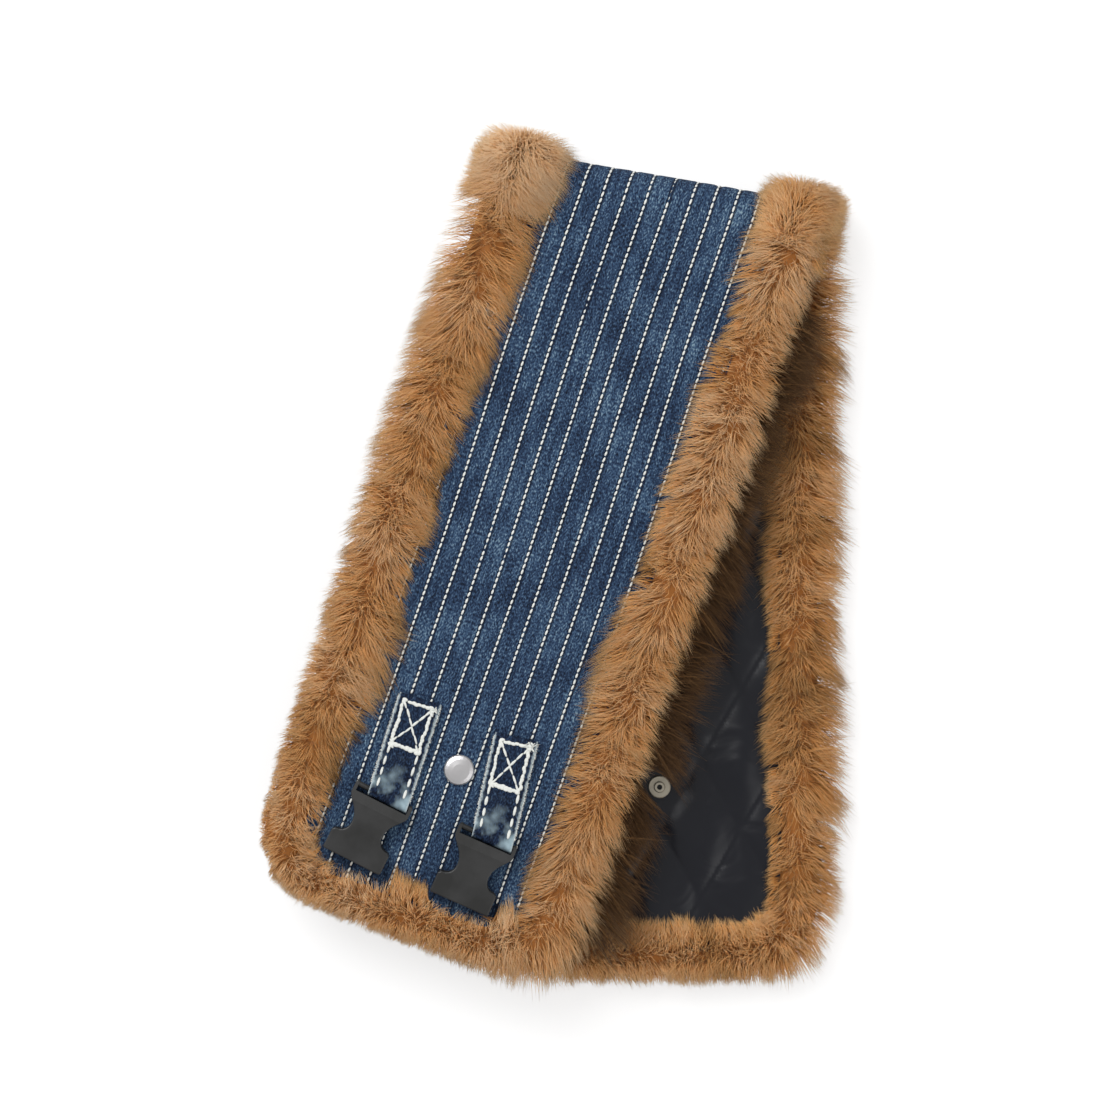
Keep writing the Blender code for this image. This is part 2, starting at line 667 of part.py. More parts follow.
def make_cap_and_socket(half):
    seat = DENIM_FACE + CLEARANCE
    under = LINING_FACE - CLEARANCE
    rim = FLANGE_THICK
    dome = [
        (CAP_RADIUS * math.sin(a), seat + rim + (CAP_RISE - rim) * math.cos(a))
        for a in (math.pi / 2 * step / FUR_STEPS for step in range(FUR_STEPS + 1))
    ]
    stem = [(CAP_RADIUS, seat + rim / 3), (CAP_RADIUS - rim / 3, seat)]
    stem += [(POST_RADIUS, seat), (POST_RADIUS, under - rim), (0.0, under - rim)]
    turned("snap_cap", dome + stem, CAP_METAL, half, 0.0, closed=False)
    mouth = STUD_RADIUS + CLEARANCE
    groove = STUD_RADIUS + 3 * SPRING_WIRE
    hollow = under - SOCKET_RISE
    shelf = hollow + rim + 2 * SPRING_WIRE + 2 * CLEARANCE
    outline = [
        (POST_RADIUS + CLEARANCE, under), (FLANGE_RADIUS, under), (FLANGE_RADIUS, hollow + rim / 2),
        (FLANGE_RADIUS - rim / 2, hollow), (mouth, hollow), (mouth, hollow + rim),
        (groove, hollow + rim), (groove, shelf), (mouth, shelf), (mouth, under - rim),
        (POST_RADIUS + CLEARANCE, under - rim),
    ]
    turned("snap_socket", outline, STUD_METAL, half, 0.0)
    middle = (hollow + rim + shelf) / 2
    wire = arc((STUD_RADIUS + 2 * SPRING_WIRE - CLEARANCE / 2, middle), SPRING_WIRE, math.pi / 2, -math.pi, 3)
    turned("snap_spring_ring", wire, SPRING_STEEL, half, 0.0)


def make_stud_and_post(half):
    seat = DENIM_FACE + CLEARANCE
    under = LINING_FACE - CLEARANCE
    bore = POST_RADIUS + CLEARANCE
    tip = under - STUD_RISE
    neck = STUD_RADIUS - SPRING_WIRE
    stud = [
        (bore, under), (FLANGE_RADIUS, under), (FLANGE_RADIUS, under - FLANGE_THICK / 2),
        (FLANGE_RADIUS - FLANGE_THICK / 2, under - FLANGE_THICK), (neck, under - FLANGE_THICK),
        (STUD_RADIUS, tip + FLANGE_THICK), (STUD_RADIUS, tip + FLANGE_THICK / 2), (neck, tip),
        (STUD_BORE, tip), (STUD_BORE, tip + FLANGE_THICK), (bore, tip + FLANGE_THICK),
    ]
    turned("snap_stud", stud, STUD_METAL, half, 0.0)
    post = [
        (STUD_BORE, seat + FLANGE_THICK), (FLANGE_RADIUS - FLANGE_THICK / 2, seat + FLANGE_THICK),
        (FLANGE_RADIUS, seat + FLANGE_THICK / 2), (FLANGE_RADIUS, seat), (POST_RADIUS, seat),
        (POST_RADIUS, tip + FLANGE_THICK + CLEARANCE), (STUD_BORE, tip + FLANGE_THICK + CLEARANCE),
    ]
    turned("snap_post", post, STUD_METAL, half, 0.0)


# Assembly


def half_of(name, matrix, holder_at, root, **places):
    """One half's holder; `matrix` takes the front half's coordinates to this half's place."""
    holder = empty(f"{name}_half", Matrix.Translation(holder_at), root)
    to_holder = Matrix.Translation(-holder_at) @ matrix
    return {"name": name, "holder": holder, "to_holder": to_holder, **places}


def bounds():
    bpy.context.view_layer.update()
    depsgraph = bpy.context.evaluated_depsgraph_get()
    corners = []
    for part in PARTS.objects:
        if part.type == "MESH":
            shape = part.evaluated_get(depsgraph)
            corners += [shape.matrix_world @ vertex.co for vertex in shape.data.vertices]
    low = Vector(min(corner[k] for corner in corners) for k in range(3))
    high = Vector(max(corner[k] for corner in corners) for k in range(3))
    return low, high


def build():
    root = empty("muff", Matrix.Identity(4))
    turn_under = Matrix.Rotation(math.pi, 4, ACROSS_FOLD)
    under = Matrix.Translation(FOLD_CENTRE) @ turn_under @ Matrix.Translation(-FOLD_CENTRE)
    front = half_of(
        "front", Matrix.Identity(4), HINGE, root,
        sides={-1: "left", 1: "right"}, lie=FRONT_LIE, snap=(CAP_X, CAP_Y),
    )
    rear = half_of(
        "rear", under, FOLD_CENTRE, root,
        sides={-1: "right", 1: "left"}, lie=REAR_LIE, snap=(STUD_X, STUD_Y),
    )
    for half in (front, rear):
        make_layers(half)
        make_fur(half)
    make_straps(front, SOCKET_RIDE, SOCKET_STRAP_RUN)
    make_straps(rear, PLUG_RIDE, PLUG_STRAP_RUN)
    make_sockets(front)
    make_plugs(rear)
    make_cap_and_socket(front)
    make_stud_and_post(rear)
    low, high = bounds()
    middle = (low + high) / 2
    root.location = (-middle.x, -middle.y, -low.z)
    bpy.context.view_layer.update()
    print("size in mm:", [round(span / MM, 1) for span in high - low])


build()
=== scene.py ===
# %% [markdown]
# A hand warmer muff is a quilted denim band, bound all round in long fur and folded once. The frame
# below is its measured model: every piece made here keeps to the places that this model gives.

# %% Load the measured frame
import json
import math

import bpy
import numpy as np
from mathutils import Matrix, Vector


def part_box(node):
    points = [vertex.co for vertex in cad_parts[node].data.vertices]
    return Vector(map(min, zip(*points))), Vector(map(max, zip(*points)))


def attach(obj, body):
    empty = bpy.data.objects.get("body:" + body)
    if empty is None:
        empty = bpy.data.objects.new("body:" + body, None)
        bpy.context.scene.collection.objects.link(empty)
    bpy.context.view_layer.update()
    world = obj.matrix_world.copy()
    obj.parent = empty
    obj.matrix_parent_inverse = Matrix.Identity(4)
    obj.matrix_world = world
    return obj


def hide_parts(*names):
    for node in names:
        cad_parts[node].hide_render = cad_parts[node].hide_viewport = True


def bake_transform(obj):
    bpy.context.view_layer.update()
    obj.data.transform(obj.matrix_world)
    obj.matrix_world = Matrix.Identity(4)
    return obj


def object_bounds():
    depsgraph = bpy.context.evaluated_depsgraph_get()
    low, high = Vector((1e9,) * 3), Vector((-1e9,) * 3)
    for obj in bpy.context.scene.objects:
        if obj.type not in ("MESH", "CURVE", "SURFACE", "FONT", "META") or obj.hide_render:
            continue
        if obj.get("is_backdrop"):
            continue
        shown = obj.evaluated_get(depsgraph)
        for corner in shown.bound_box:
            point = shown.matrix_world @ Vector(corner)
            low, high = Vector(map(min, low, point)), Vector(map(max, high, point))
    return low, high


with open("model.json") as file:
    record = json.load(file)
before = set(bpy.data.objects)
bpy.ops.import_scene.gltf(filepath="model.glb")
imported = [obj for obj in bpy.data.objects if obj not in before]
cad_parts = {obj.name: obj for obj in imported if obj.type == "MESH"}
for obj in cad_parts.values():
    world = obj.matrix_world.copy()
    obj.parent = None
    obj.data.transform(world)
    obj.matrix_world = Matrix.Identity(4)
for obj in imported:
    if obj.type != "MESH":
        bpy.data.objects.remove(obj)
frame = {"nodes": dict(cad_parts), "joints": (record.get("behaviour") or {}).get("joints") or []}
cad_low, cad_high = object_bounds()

MM = 0.001
print("frame box in mm:", [round(span / MM, 1) for span in cad_high - cad_low])

# %% [markdown]
# The muff was seen from straight above, with the front half leaning to the left at the bottom. A long
# lens from two metres up keeps the near and far layers almost the same size, as the eye expects of a
# flat lay. The camera turns about its own line of sight instead of the muff turning under it, because
# the muff's frame must stay where it is.

# %% Camera
VIEW_TURN = math.radians(19.4)
VIEW_WIDTH = 616 * MM
VIEW_HEIGHT = 2.0
VIEW_MIDDLE = (-46.6 * MM, -6.4 * MM)
SENSOR = 36.0

front_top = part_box("front_denim_shell")[1].z
eye = bpy.data.cameras.new("overhead")
eye.sensor_width = SENSOR
eye.lens = SENSOR * (VIEW_HEIGHT - front_top) / VIEW_WIDTH
camera = bpy.data.objects.new("overhead", eye)
camera.location = (*VIEW_MIDDLE, VIEW_HEIGHT)
camera.rotation_euler = (0.0, 0.0, VIEW_TURN)
bpy.context.scene.collection.objects.link(camera)
bpy.context.scene.camera = camera
bpy.context.scene.view_settings.view_transform = "Standard"
print("lens in mm:", round(eye.lens, 1))

# %% [markdown]
# Every finish starts as a Principled shader, and its colours are written as sRGB hex values, the way a
# dyer's chart gives them. One function turns those into the linear values that light sums in, and one
# more adds a node, sets it and links it.

# %% Colours and nodes


def colour(code):
    """Linear RGBA of an sRGB hex value."""
    channels = [int(code[k:k + 2], 16) / 255 for k in (1, 3, 5)]
    linear = [c / 12.92 if c <= 0.04045 else ((c + 0.055) / 1.055) ** 2.4 for c in channels]
    return (*linear, 1.0)


def node(tree, kind, inputs=None, stops=None, **settings):
    """Add a node with its settings; inputs holds a value or another node's output for each socket."""
    made = tree.nodes.new(kind)
    for name, value in settings.items():
        setattr(made, name, value)
    for socket, value in (inputs or {}).items():
        if isinstance(value, bpy.types.NodeSocket):
            tree.links.new(value, made.inputs[socket])
        else:
            made.inputs[socket].default_value = value
    if stops:
        ramp = made.color_ramp.elements
        while len(ramp) < len(stops):
            ramp.new(0.5)
        for element, (place, code) in zip(ramp, stops):
            element.position = place
            element.color = colour(code)
    return made


def finish_of(name, base, roughness, specular=0.5, metallic=0.0):
    """A new Principled finish, with the values that are the same all over it."""
    material = bpy.data.materials.new(name)
    material.use_nodes = True
    shader = material.node_tree.nodes["Principled BSDF"]
    shader.inputs["Base Color"].default_value = colour(base)
    shader.inputs["Roughness"].default_value = roughness
    shader.inputs["Specular IOR Level"].default_value = specular
    shader.inputs["Metallic"].default_value = metallic
    return material, material.node_tree, shader


print("white in linear light:", colour("#ffffff"))

# %% [markdown]
# The same few steps come back in most finishes: a sum, a value drawn out between limits, a colour from a
# ramp or between two others, some noise and a bump. Each gets a short name, so a finish reads as a recipe.

# %% Steps of a finish


def reckon(tree, operation, *values):
    """The result of one sum on values or other nodes' outputs."""
    return node(tree, "ShaderNodeMath", dict(enumerate(values)), operation=operation).outputs[0]


def remap(tree, value, low, high, start=0.0, stop=1.0):
    """A value from low to high, drawn out from start to stop and held there beyond them."""
    return node(tree, "ShaderNodeMapRange", {0: value, 1: low, 2: high, 3: start, 4: stop}).outputs[0]


def ramped(tree, value, stops):
    """A colour from a ramp of (place, hex value) stops."""
    return node(tree, "ShaderNodeValToRGB", {0: value}, stops=stops).outputs[0]


def mix(tree, share, first, second):
    """A colour between two: the second one where the share is 1."""
    return node(tree, "ShaderNodeMix", {0: share, 6: first, 7: second}, data_type="RGBA").outputs[2]


def noise(tree, where, scale, detail, distortion=0.0):
    """Noise from 0 to 1 at the places that an output gives."""
    inputs = {"Vector": where, "Scale": scale, "Detail": detail, "Distortion": distortion}
    return node(tree, "ShaderNodeTexNoise", inputs).outputs[0]


def bump(tree, shader, height, strength, depth):
    """Roughen a finish by the heights that an output gives."""
    made = node(tree, "ShaderNodeBump", {"Strength": strength, "Distance": depth, "Height": height})
    tree.links.new(made.outputs[0], shader.inputs["Normal"])


print("steps of a finish:", [step.__name__ for step in (reckon, remap, ramped, mix, noise, bump)])

# %% [markdown]
# A pale floor and soft light from the upper left of the picture: one large lamp, a weaker one across
# from it and an even sky. The floor shows itself a little brighter to the camera than it is to the
# muff, so the ground stays white while the muff still leaves its shadow there.

# %% Floor and light
FLOOR_SIZE = 6.0
FLOOR_DROP = 0.4 * MM
FLOOR_GLOW = 0.6
KEY_PLACE, KEY_SIZE, KEY_WATTS = (-1.1, 0.75, 1.5), 1.3, 24
FILL_PLACE, FILL_SIZE, FILL_WATTS = (1.5, -0.5, 1.2), 1.6, 8
SKY_STRENGTH = 0.52

bpy.ops.object.select_all(action="DESELECT")
bpy.ops.mesh.primitive_plane_add(size=FLOOR_SIZE, location=(0.0, 0.0, -FLOOR_DROP))
floor = bpy.context.active_object
floor.name = "studio_floor"
paper, tree, shader = finish_of("white_paper", "#c0c0c0", roughness=0.9, specular=0.1)
shader.inputs["Emission Color"].default_value = colour("#ffffff")
seen = node(tree, "ShaderNodeLightPath").outputs
either = reckon(tree, "MAXIMUM", seen["Is Camera Ray"], seen["Is Glossy Ray"])
tree.links.new(reckon(tree, "MULTIPLY", either, FLOOR_GLOW), shader.inputs["Emission Strength"])
floor.data.materials.append(paper)
floor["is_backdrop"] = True


def soft_lamp(name, place, size, watts):
    """A square lamp of that size, turned towards the muff."""
    lamp = bpy.data.lights.new(name, "AREA")
    lamp.size = size
    lamp.energy = watts
    holder = bpy.data.objects.new(name, lamp)
    holder.location = place
    holder.rotation_euler = (-holder.location).to_track_quat("-Z", "Y").to_euler()
    bpy.context.scene.collection.objects.link(holder)


soft_lamp("key_upper_left", KEY_PLACE, KEY_SIZE, KEY_WATTS)
soft_lamp("fill_right", FILL_PLACE, FILL_SIZE, FILL_WATTS)
world = bpy.data.worlds.new("even_sky")
world.use_nodes = True
world.node_tree.nodes["Background"].inputs["Color"].default_value = colour("#ffffff")
world.node_tree.nodes["Background"].inputs["Strength"].default_value = SKY_STRENGTH
bpy.context.scene.world = world

# %% [markdown]
# The whole muff is one straight band that turns over a slanted fold. A point of the flat-cut band has
# a place across it, a place along it and a height off its mid-surface, counted towards the denim. One
# function wraps such points over the fold, so cloth, stitches and fur can all be laid out flat.

# %% The band and its fold
PANEL_HALF_WIDTH = 75.4 * MM
PANEL_LENGTH = 432.0 * MM
PANEL_CORNER = 29.4 * MM
CREST_BACK = 8.5 * MM
DENIM_FACE = 3.8 * MM
LINING_FACE = -3.4 * MM
CLEARANCE = 0.3 * MM

fold = next(joint for joint in frame["joints"] if joint["name"] == "fold")
hinge = np.array(fold["pos_m"])
FOLD_LEVEL = hinge[2]
FRONT_LEVEL = front_top - DENIM_FACE
FOLD_RADIUS = FRONT_LEVEL - FOLD_LEVEL
ALONG = -np.array(fold["axis"][:2])
ACROSS = np.array([-ALONG[1], ALONG[0]])
ORIGIN = hinge[:2] - ACROSS * CREST_BACK
FOOT = -ACROSS * (FOLD_RADIUS + DENIM_FACE)
HALF_TURN = math.pi * FOLD_RADIUS
MIDDLE = FOOT + ACROSS * HALF_TURN / 2


def past_foot(x, y):
    """How far beyond the start of the fold a flat-cut point lies."""
    return (x - FOOT[0]) * ACROSS[0] + (y - FOOT[1]) * ACROSS[1]


def on_band(x, y, h):
    """World points of flat-cut points, as an array whose last axis is x, y, z."""
    beside = (x - FOOT[0]) * ALONG[0] + (y - FOOT[1]) * ALONG[1]
    past = past_foot(x, y)
    turn = np.clip(past / FOLD_RADIUS, 0.0, math.pi)
    over = past - turn * FOLD_RADIUS
    reach = (FOLD_RADIUS + h) * np.sin(turn) + over * np.cos(turn)
    plan = [ORIGIN[k] + FOOT[k] + ALONG[k] * beside + ACROSS[k] * reach for k in (0, 1)]
    level = FOLD_LEVEL + (FOLD_RADIUS + h) * np.cos(turn)
    return np.stack([*plan, level], axis=-1)


def fold_line(x, past):
    """The flat-cut y at x, on the line that lies `past` beyond the start of the fold."""
    return FOOT[1] + (past - ACROSS[0] * (x - FOOT[0])) / ACROSS[1]


def to_world(half, lines):
    """World points of flat-cut (x, y, h); the rear half is the front's cut turned about the fold."""
    plan = lines[..., :2]
    if half == "rear":
        plan = 2 * MIDDLE - plan
    return on_band(plan[..., 0], plan[..., 1], lines[..., 2])


def share_fold(piece):
    """Bake a piece's placement into its points; the piece is left with neither half."""
    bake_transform(piece)


print("fold radius in mm:", round(FOLD_RADIUS / MM, 2))

# %% [markdown]
# Fur is thousands of tapered fibres. Hair curves would be quicker to grow, but a shared part needs real
# meshes, so one fibre is modelled by hand as a three-sided cone, cut across once, and all the others
# are copies of it that follow their own bent lines.

# %% One fibre
FIBRE_CUTS = (0.45,)


def read_shape(piece):
    """The points and triangles of a scratch piece, which is then removed."""
    mesh = piece.data
    points = np.empty(len(mesh.vertices) * 3)
    mesh.vertices.foreach_get("co", points)
    triangles = np.array([face.vertices[:] for face in mesh.polygons])
    bpy.data.objects.remove(piece)
    bpy.data.meshes.remove(mesh)
    return points.reshape(-1, 3), triangles


bpy.ops.object.select_all(action="DESELECT")
bpy.ops.mesh.primitive_cone_add(vertices=3, radius1=1.0, radius2=0.0, depth=1.0, location=(0.0, 0.0, 0.5))
bpy.ops.object.transform_apply(location=True, rotation=True, scale=True)
bpy.ops.object.mode_set(mode="EDIT")
for share in FIBRE_CUTS:
    bpy.ops.mesh.select_all(action="SELECT")
    bpy.ops.mesh.bisect(plane_co=(0.0, 0.0, share), plane_no=(0.0, 0.0, 1.0))
bpy.ops.mesh.select_all(action="SELECT")
bpy.ops.mesh.quads_convert_to_tris()
bpy.ops.object.mode_set(mode="OBJECT")
fibre_points, fibre_faces = read_shape(bpy.context.active_object)
fibre_along = np.round(fibre_points[:, 2], 4)
fibre_angle = np.arctan2(fibre_points[:, 1], fibre_points[:, 0])
LEVELS = np.unique(fibre_along)
fibre_level = np.searchsorted(LEVELS, fibre_along)
print("fibre:", len(fibre_points), "points,", len(fibre_faces), "triangles")

# %% [markdown]
# A fibre's colour runs from a dark root to a light tip, and each fibre has its own tone. Both are kept
# in a texture map of its own: tone across it, root to tip up it. That is all the finish reads, so every
# fibre carries its colours wherever the fur moves.

# %% Fur finish
FUR_MAP = "OFBake"
DARK_FIBRE = ((0.0, "#140b06"), (0.5, "#25150b"), (1.0, "#543219"))
GOLD_FIBRE = ((0.0, "#b97637"), (0.4, "#eaa85e"), (1.0, "#f9cc90"))
PALE_FIBRE = ((0.0, "#cf995f"), (0.4, "#f6cb96"), (1.0, "#ffeacd"))
GOLD_TONE = 0.5
FIBRE_SHEEN = 0.35

fur, tree, shader = finish_of("golden_brown_fur", "#c08a50", roughness=0.6, specular=0.2)
place = node(tree, "ShaderNodeSeparateXYZ", {0: node(tree, "ShaderNodeUVMap", uv_map=FUR_MAP).outputs[0]})
tone, rise = place.outputs["X"], place.outputs["Y"]
dark, gold, pale = (ramped(tree, rise, stops) for stops in (DARK_FIBRE, GOLD_FIBRE, PALE_FIBRE))
low, high = remap(tree, tone, 0.0, GOLD_TONE), remap(tree, tone, GOLD_TONE, 1.0)
warm = mix(tree, low, dark, gold)
tree.links.new(mix(tree, high, warm, pale), shader.inputs["Base Color"])
tree.links.new(reckon(tree, "MULTIPLY", low, FIBRE_SHEEN), shader.inputs["Sheen Weight"])
shader.inputs["Sheen Tint"].default_value = colour("#ffdcae")
print("finish:", fur.name)

# %% [markdown]
# The binding runs along the panel's edge: down one side, round the corner, across the end and up the
# other side. Its path is a line of points with an outward direction at each, and a scale that draws the
# outer half in across the end, where the real strip is slimmer.

# %% The path of the binding
PATH_STEP = 2.0 * MM
EDGE_ROOM = 1.2 * MM
END_SCALE = 0.7
RIGHT_ANGLE = math.pi / 2
MITRE = math.pi / 4
FOLD_LAP = 10 * MM
EDGE_X = PANEL_HALF_WIDTH + EDGE_ROOM


def side_run(side, start, stop):
    """Points along one side of the band, with their outward directions and scales."""
    count = max(2, round(abs(stop - start) / PATH_STEP) + 1)
    y = np.linspace(start, stop, count)
    return np.stack([np.full(count, side * EDGE_X), y], 1), np.tile((side, 0.0), (count, 1)), np.ones(count)


def corner_run(side, start, stop):
    """Points round a corner; the turn is 0 at the end and a right angle at the side."""
    count = max(2, round(abs(stop - start) * PANEL_CORNER / PATH_STEP) + 1)
    turn = np.linspace(start, stop, count)
    outward = np.stack([side * np.sin(turn), -np.cos(turn)], 1)
    centre = np.array([side * (PANEL_HALF_WIDTH - PANEL_CORNER), PANEL_CORNER - PANEL_LENGTH])
    scale = END_SCALE + (1 - END_SCALE) * np.sin(turn) ** 2
    return centre + outward * (PANEL_CORNER + EDGE_ROOM), outward, scale


def joined(*runs):
    """One path from runs laid end to end, measured along its length."""
    points, outward, scale = (np.concatenate(parts) for parts in zip(*runs))
    steps = np.linalg.norm(np.diff(points, axis=0), axis=1)
    at = np.concatenate([[0.0], np.cumsum(steps)])
    return {"at": at, "points": points, "outward": outward, "scale": scale}


def fold_path(side):
    """The path round one end of the fold, lapping onto both halves."""
    ends = (fold_line(side * EDGE_X, past) for past in (-FOLD_LAP, HALF_TURN + FOLD_LAP))
    return joined(side_run(side, *ends))


side_paths = {
    side: joined(side_run(side, fold_line(side * EDGE_X, 0.0), PANEL_CORNER - PANEL_LENGTH),
                 corner_run(side, RIGHT_ANGLE, MITRE))
    for side in (-1, 1)
}
end_path = joined(corner_run(-1, MITRE, 0.0), corner_run(1, 0.0, MITRE))
fold_paths = {side: fold_path(side) for side in (-1, 1)}
print("side and end strips in mm:", [round(path["at"][-1] / MM) for path in (side_paths[1], end_path)])

# %% [markdown]
# On each face of the strip the fibres fan out from its middle, half of them lying in over the cloth and
# half out past the edge, and all are combed towards the free end of the band. Physics could bend them,
# but a formula for a fibre's line gives the drape at once and can be tuned by eye.

# %% Fibre lines
CORE_OUT = 12.0 * MM
CORE_RISE = 6.5 * MM
INNER_ANGLE = math.radians(-80)
OUTER_ANGLE = math.radians(95)
OUTER_FULL = math.radians(40)
CREST_FADE = 70 * MM
PARTING_WIDTH = 0.7
PILE_RISE = 22 * MM
NAP_LEAN = 0.32
NAP_CURL = 0.2


def along_path(path, at):
    """Points, outward directions and scales at places along a path."""
    points = np.stack([np.interp(at, path["at"], path["points"][:, k]) for k in (0, 1)], -1)
    outward = np.stack([np.interp(at, path["at"], path["outward"][:, k]) for k in (0, 1)], -1)
    return points, outward, np.interp(at, path["at"], path["scale"])


def core_point(angle, scale, shift):
    """Where the backing's skin lies at an angle from its top: out from the panel's edge, and up."""
    out = CORE_OUT * np.sin(angle) * np.where(np.sin(angle) > 0, scale, 1.0) + shift
    return out, CORE_RISE * np.cos(angle) * (0.5 + 0.5 * scale)


def fibre_lines(path, look, at, angle, part, lean, swing, length):
    """Bent lines of fibres rooted round the core, as (levels, fibres) of flat-cut x, y and h."""
    points, outward, scale = along_path(path, at)
    tangent = np.stack([-outward[:, 1], outward[:, 0]], -1)
    from_crest = HALF_TURN / 2 - past_foot(*points.T)
    combed = look["nap"] * np.abs(outward[:, 0]) * np.clip(from_crest / CREST_FADE, -1.0, 1.0)
    reach = np.interp(angle, (INNER_ANGLE, 0.0, OUTER_ANGLE), look["lengths"]) * length
    reach = reach * (1 + look["crest"] * np.sin(math.pi * at / path["at"][-1]))
    outer = scale * np.interp(at, (0.0, path["at"][-1]), look["outer"])
    reach = reach * np.interp(angle, (0.0, OUTER_FULL), (0.0, 1.0)) * (outer - 1) + reach
    out, rise = core_point(angle, scale, look["shift"])
    splay = look["fan"] * angle + look["splay"] * np.tanh((angle - part) / PARTING_WIDTH) + lean
    rows = []
    for t in LEVELS:
        bend = splay + look["bend"] * np.sin(angle) * t
        beyond = out + reach * t * np.sin(bend)
        height = rise + reach * t * np.cos(bend) * (1 - NAP_CURL * t * np.abs(combed))
        plan = points + outward * beyond[:, None] + tangent * (reach * t * np.sin(swing))[:, None]
        plan[:, 1] -= combed * reach * (NAP_LEAN * t + NAP_CURL * t * t)
        height = np.where(height > 0, PILE_RISE * np.tanh(height / PILE_RISE), height)
        least = np.where(beyond < 0.0, look["clear"], look["low"])
        rows.append(np.column_stack([plan, np.maximum(height, least)]))
    return np.stack(rows)


print("levels along a fibre:", LEVELS)

# %% [markdown]
# Fibres stand in locks: each lock has its own lean, length and tone, and its fibres draw together towards
# its tip. Values that wander smoothly along the strip keep neighbouring locks alike, as real fur lies in
# drifts, and a random part of its own sets each lock apart from the next.

# %% Combing in locks
LOCK_SIZE = 7
LOCK_SPREAD = 1.9 * MM
LOCK_LENGTHS = (0.85, 1.15)
LOCK_TONE = 0.04
FIBRE_LENGTHS = (0.5, 1.0, 1.25)
FIBRE_ROUND = 0.2
FIBRE_TURN = math.radians(10)
GATHER_POWER = 1.4
PARTING = (0.8, 34 * MM, 0.5)
LEANING = (math.radians(14), 24 * MM, math.radians(12))
SWINGING = (math.radians(26), 30 * MM, math.radians(14))
ROUND_STEP = 12 * MM
INNER_WAVE, OUTER_WAVE, OUTER_SHARE = 55 * MM, 36 * MM, 0.4
PATCH_SHARE, PATCH_LONG, PATCH_SHORT, PATCH_STEP = 0.6, 45 * MM, 16 * MM, 8 * MM
PAINTED_SHADE_FROM, PAINTED_SHADE_WIDTH = math.radians(-45), math.radians(30)
TONE_LIMITS = (0.03, 0.97)


def wander(rng, at, wave):
    """A smooth random value from -1 to 1 along a path, with about that wave length."""
    knots = np.arange(at.min() - wave, at.max() + 2 * wave, wave / 2)
    return np.interp(at, knots, rng.uniform(-1.0, 1.0, len(knots)))


def drift(rng, at, size, wave, stray):
    """A value for each lock: one part wanders along the path, the other is its own."""
    return size * wander(rng, at, wave) + rng.normal(0.0, stray, len(at))


def comb(rng, path, count, look):
    """The lines and tones of all the fibres on one face of a strip."""
    locks = count // LOCK_SIZE
    total = path["at"][-1]
    at = rng.uniform(0.0, total, locks)
    angle = rng.uniform(look["start"], OUTER_ANGLE, locks)
    part = drift(rng, at, *PARTING)
    wave = np.where(angle < 0, wander(rng, at, INNER_WAVE), OUTER_SHARE * wander(rng, at, OUTER_WAVE))
    patch = PATCH_SHARE * wander(rng, at, PATCH_LONG)
    patch = patch + PATCH_SHARE * wander(rng, at + angle * PATCH_STEP, PATCH_SHORT)
    length = rng.uniform(*LOCK_LENGTHS, locks) * (1 + look["wave"] * wave)
    tone = look["tone"] + look["fade"] * at / total + look["patchy"] * patch
    tone = tone + rng.normal(0.0, LOCK_TONE, locks)
    # Painted shade: fibres that lie in over the cloth get a lower tone, for the shadow along the pile's inner
    # edge.
    tone -= look["shade"] * np.clip((PAINTED_SHADE_FROM - angle) / PAINTED_SHADE_WIDTH, 0.0, 1.0)
    lean = drift(rng, at + angle * ROUND_STEP, *LEANING)
    swing = drift(rng, at + angle * ROUND_STEP, *SWINGING)

    lock = rng.integers(0, locks, count)
    heart = fibre_lines(path, look, *(values[lock] for values in (at, angle, part, lean, swing, length)))
    single = fibre_lines(
        path, look,
        np.clip(at[lock] + rng.normal(0.0, LOCK_SPREAD, count), 0.0, total),
        np.clip(angle[lock] + rng.normal(0.0, FIBRE_ROUND, count), INNER_ANGLE, OUTER_ANGLE),
        part[lock],
        lean[lock] + rng.normal(0.0, FIBRE_TURN, count),
        swing[lock] + rng.normal(0.0, FIBRE_TURN, count),
        length[lock] * rng.triangular(*FIBRE_LENGTHS, count),
    )
    lines = single + (heart - single) * (look["gather"] * LEVELS ** GATHER_POWER)[:, None, None]
    return lines, np.clip(tone[lock] + rng.normal(0.0, look["fleck"], count), *TONE_LIMITS)


print("fibres in a lock:", LOCK_SIZE)

# %% [markdown]
# A look is the set of values that one face of a strip is combed with. Lengths are given for its inner
# side, its middle and its outer side, `outer` stretches the outer side at both ends of the path,
# `tone` runs from 0, dark, over 0.5, golden, to 1, pale, and `shade` is painted shade: it lowers the
# tone of the fibres that lie in over the cloth, for the shadow along the pile's inner edge. One full
# look for the top is the base, and every other face only says what differs there.

# %% Looks of the pile
TOP_LOOK = {
    "lengths": (16 * MM, 15 * MM, 16 * MM), "outer": (1.0, 1.0), "crest": 0.0, "wave": 0.45,
    "shift": 0.0, "start": INNER_ANGLE, "fan": 0.85, "splay": math.radians(30), "bend": math.radians(24),
    "nap": 1.0, "gather": 0.5, "clear": 4.7 * MM, "low": -11 * MM,
    "tone": 0.62, "fade": 0.0, "patchy": 0.23, "fleck": 0.07, "shade": 0.35,
}
CREST_LOOK = dict(TOP_LOOK, crest=0.6, wave=0.25)
REAR_LOOK = dict(
    TOP_LOOK, lengths=(12 * MM, 14 * MM, 16 * MM), clear=5.8 * MM, tone=0.47, patchy=0.28, shade=0.1,
)
UNDER_LOOK = dict(
    TOP_LOOK, lengths=(12 * MM, 12 * MM, 15 * MM), clear=5.8 * MM, tone=0.45, wave=0.15,
    splay=math.radians(8),
)
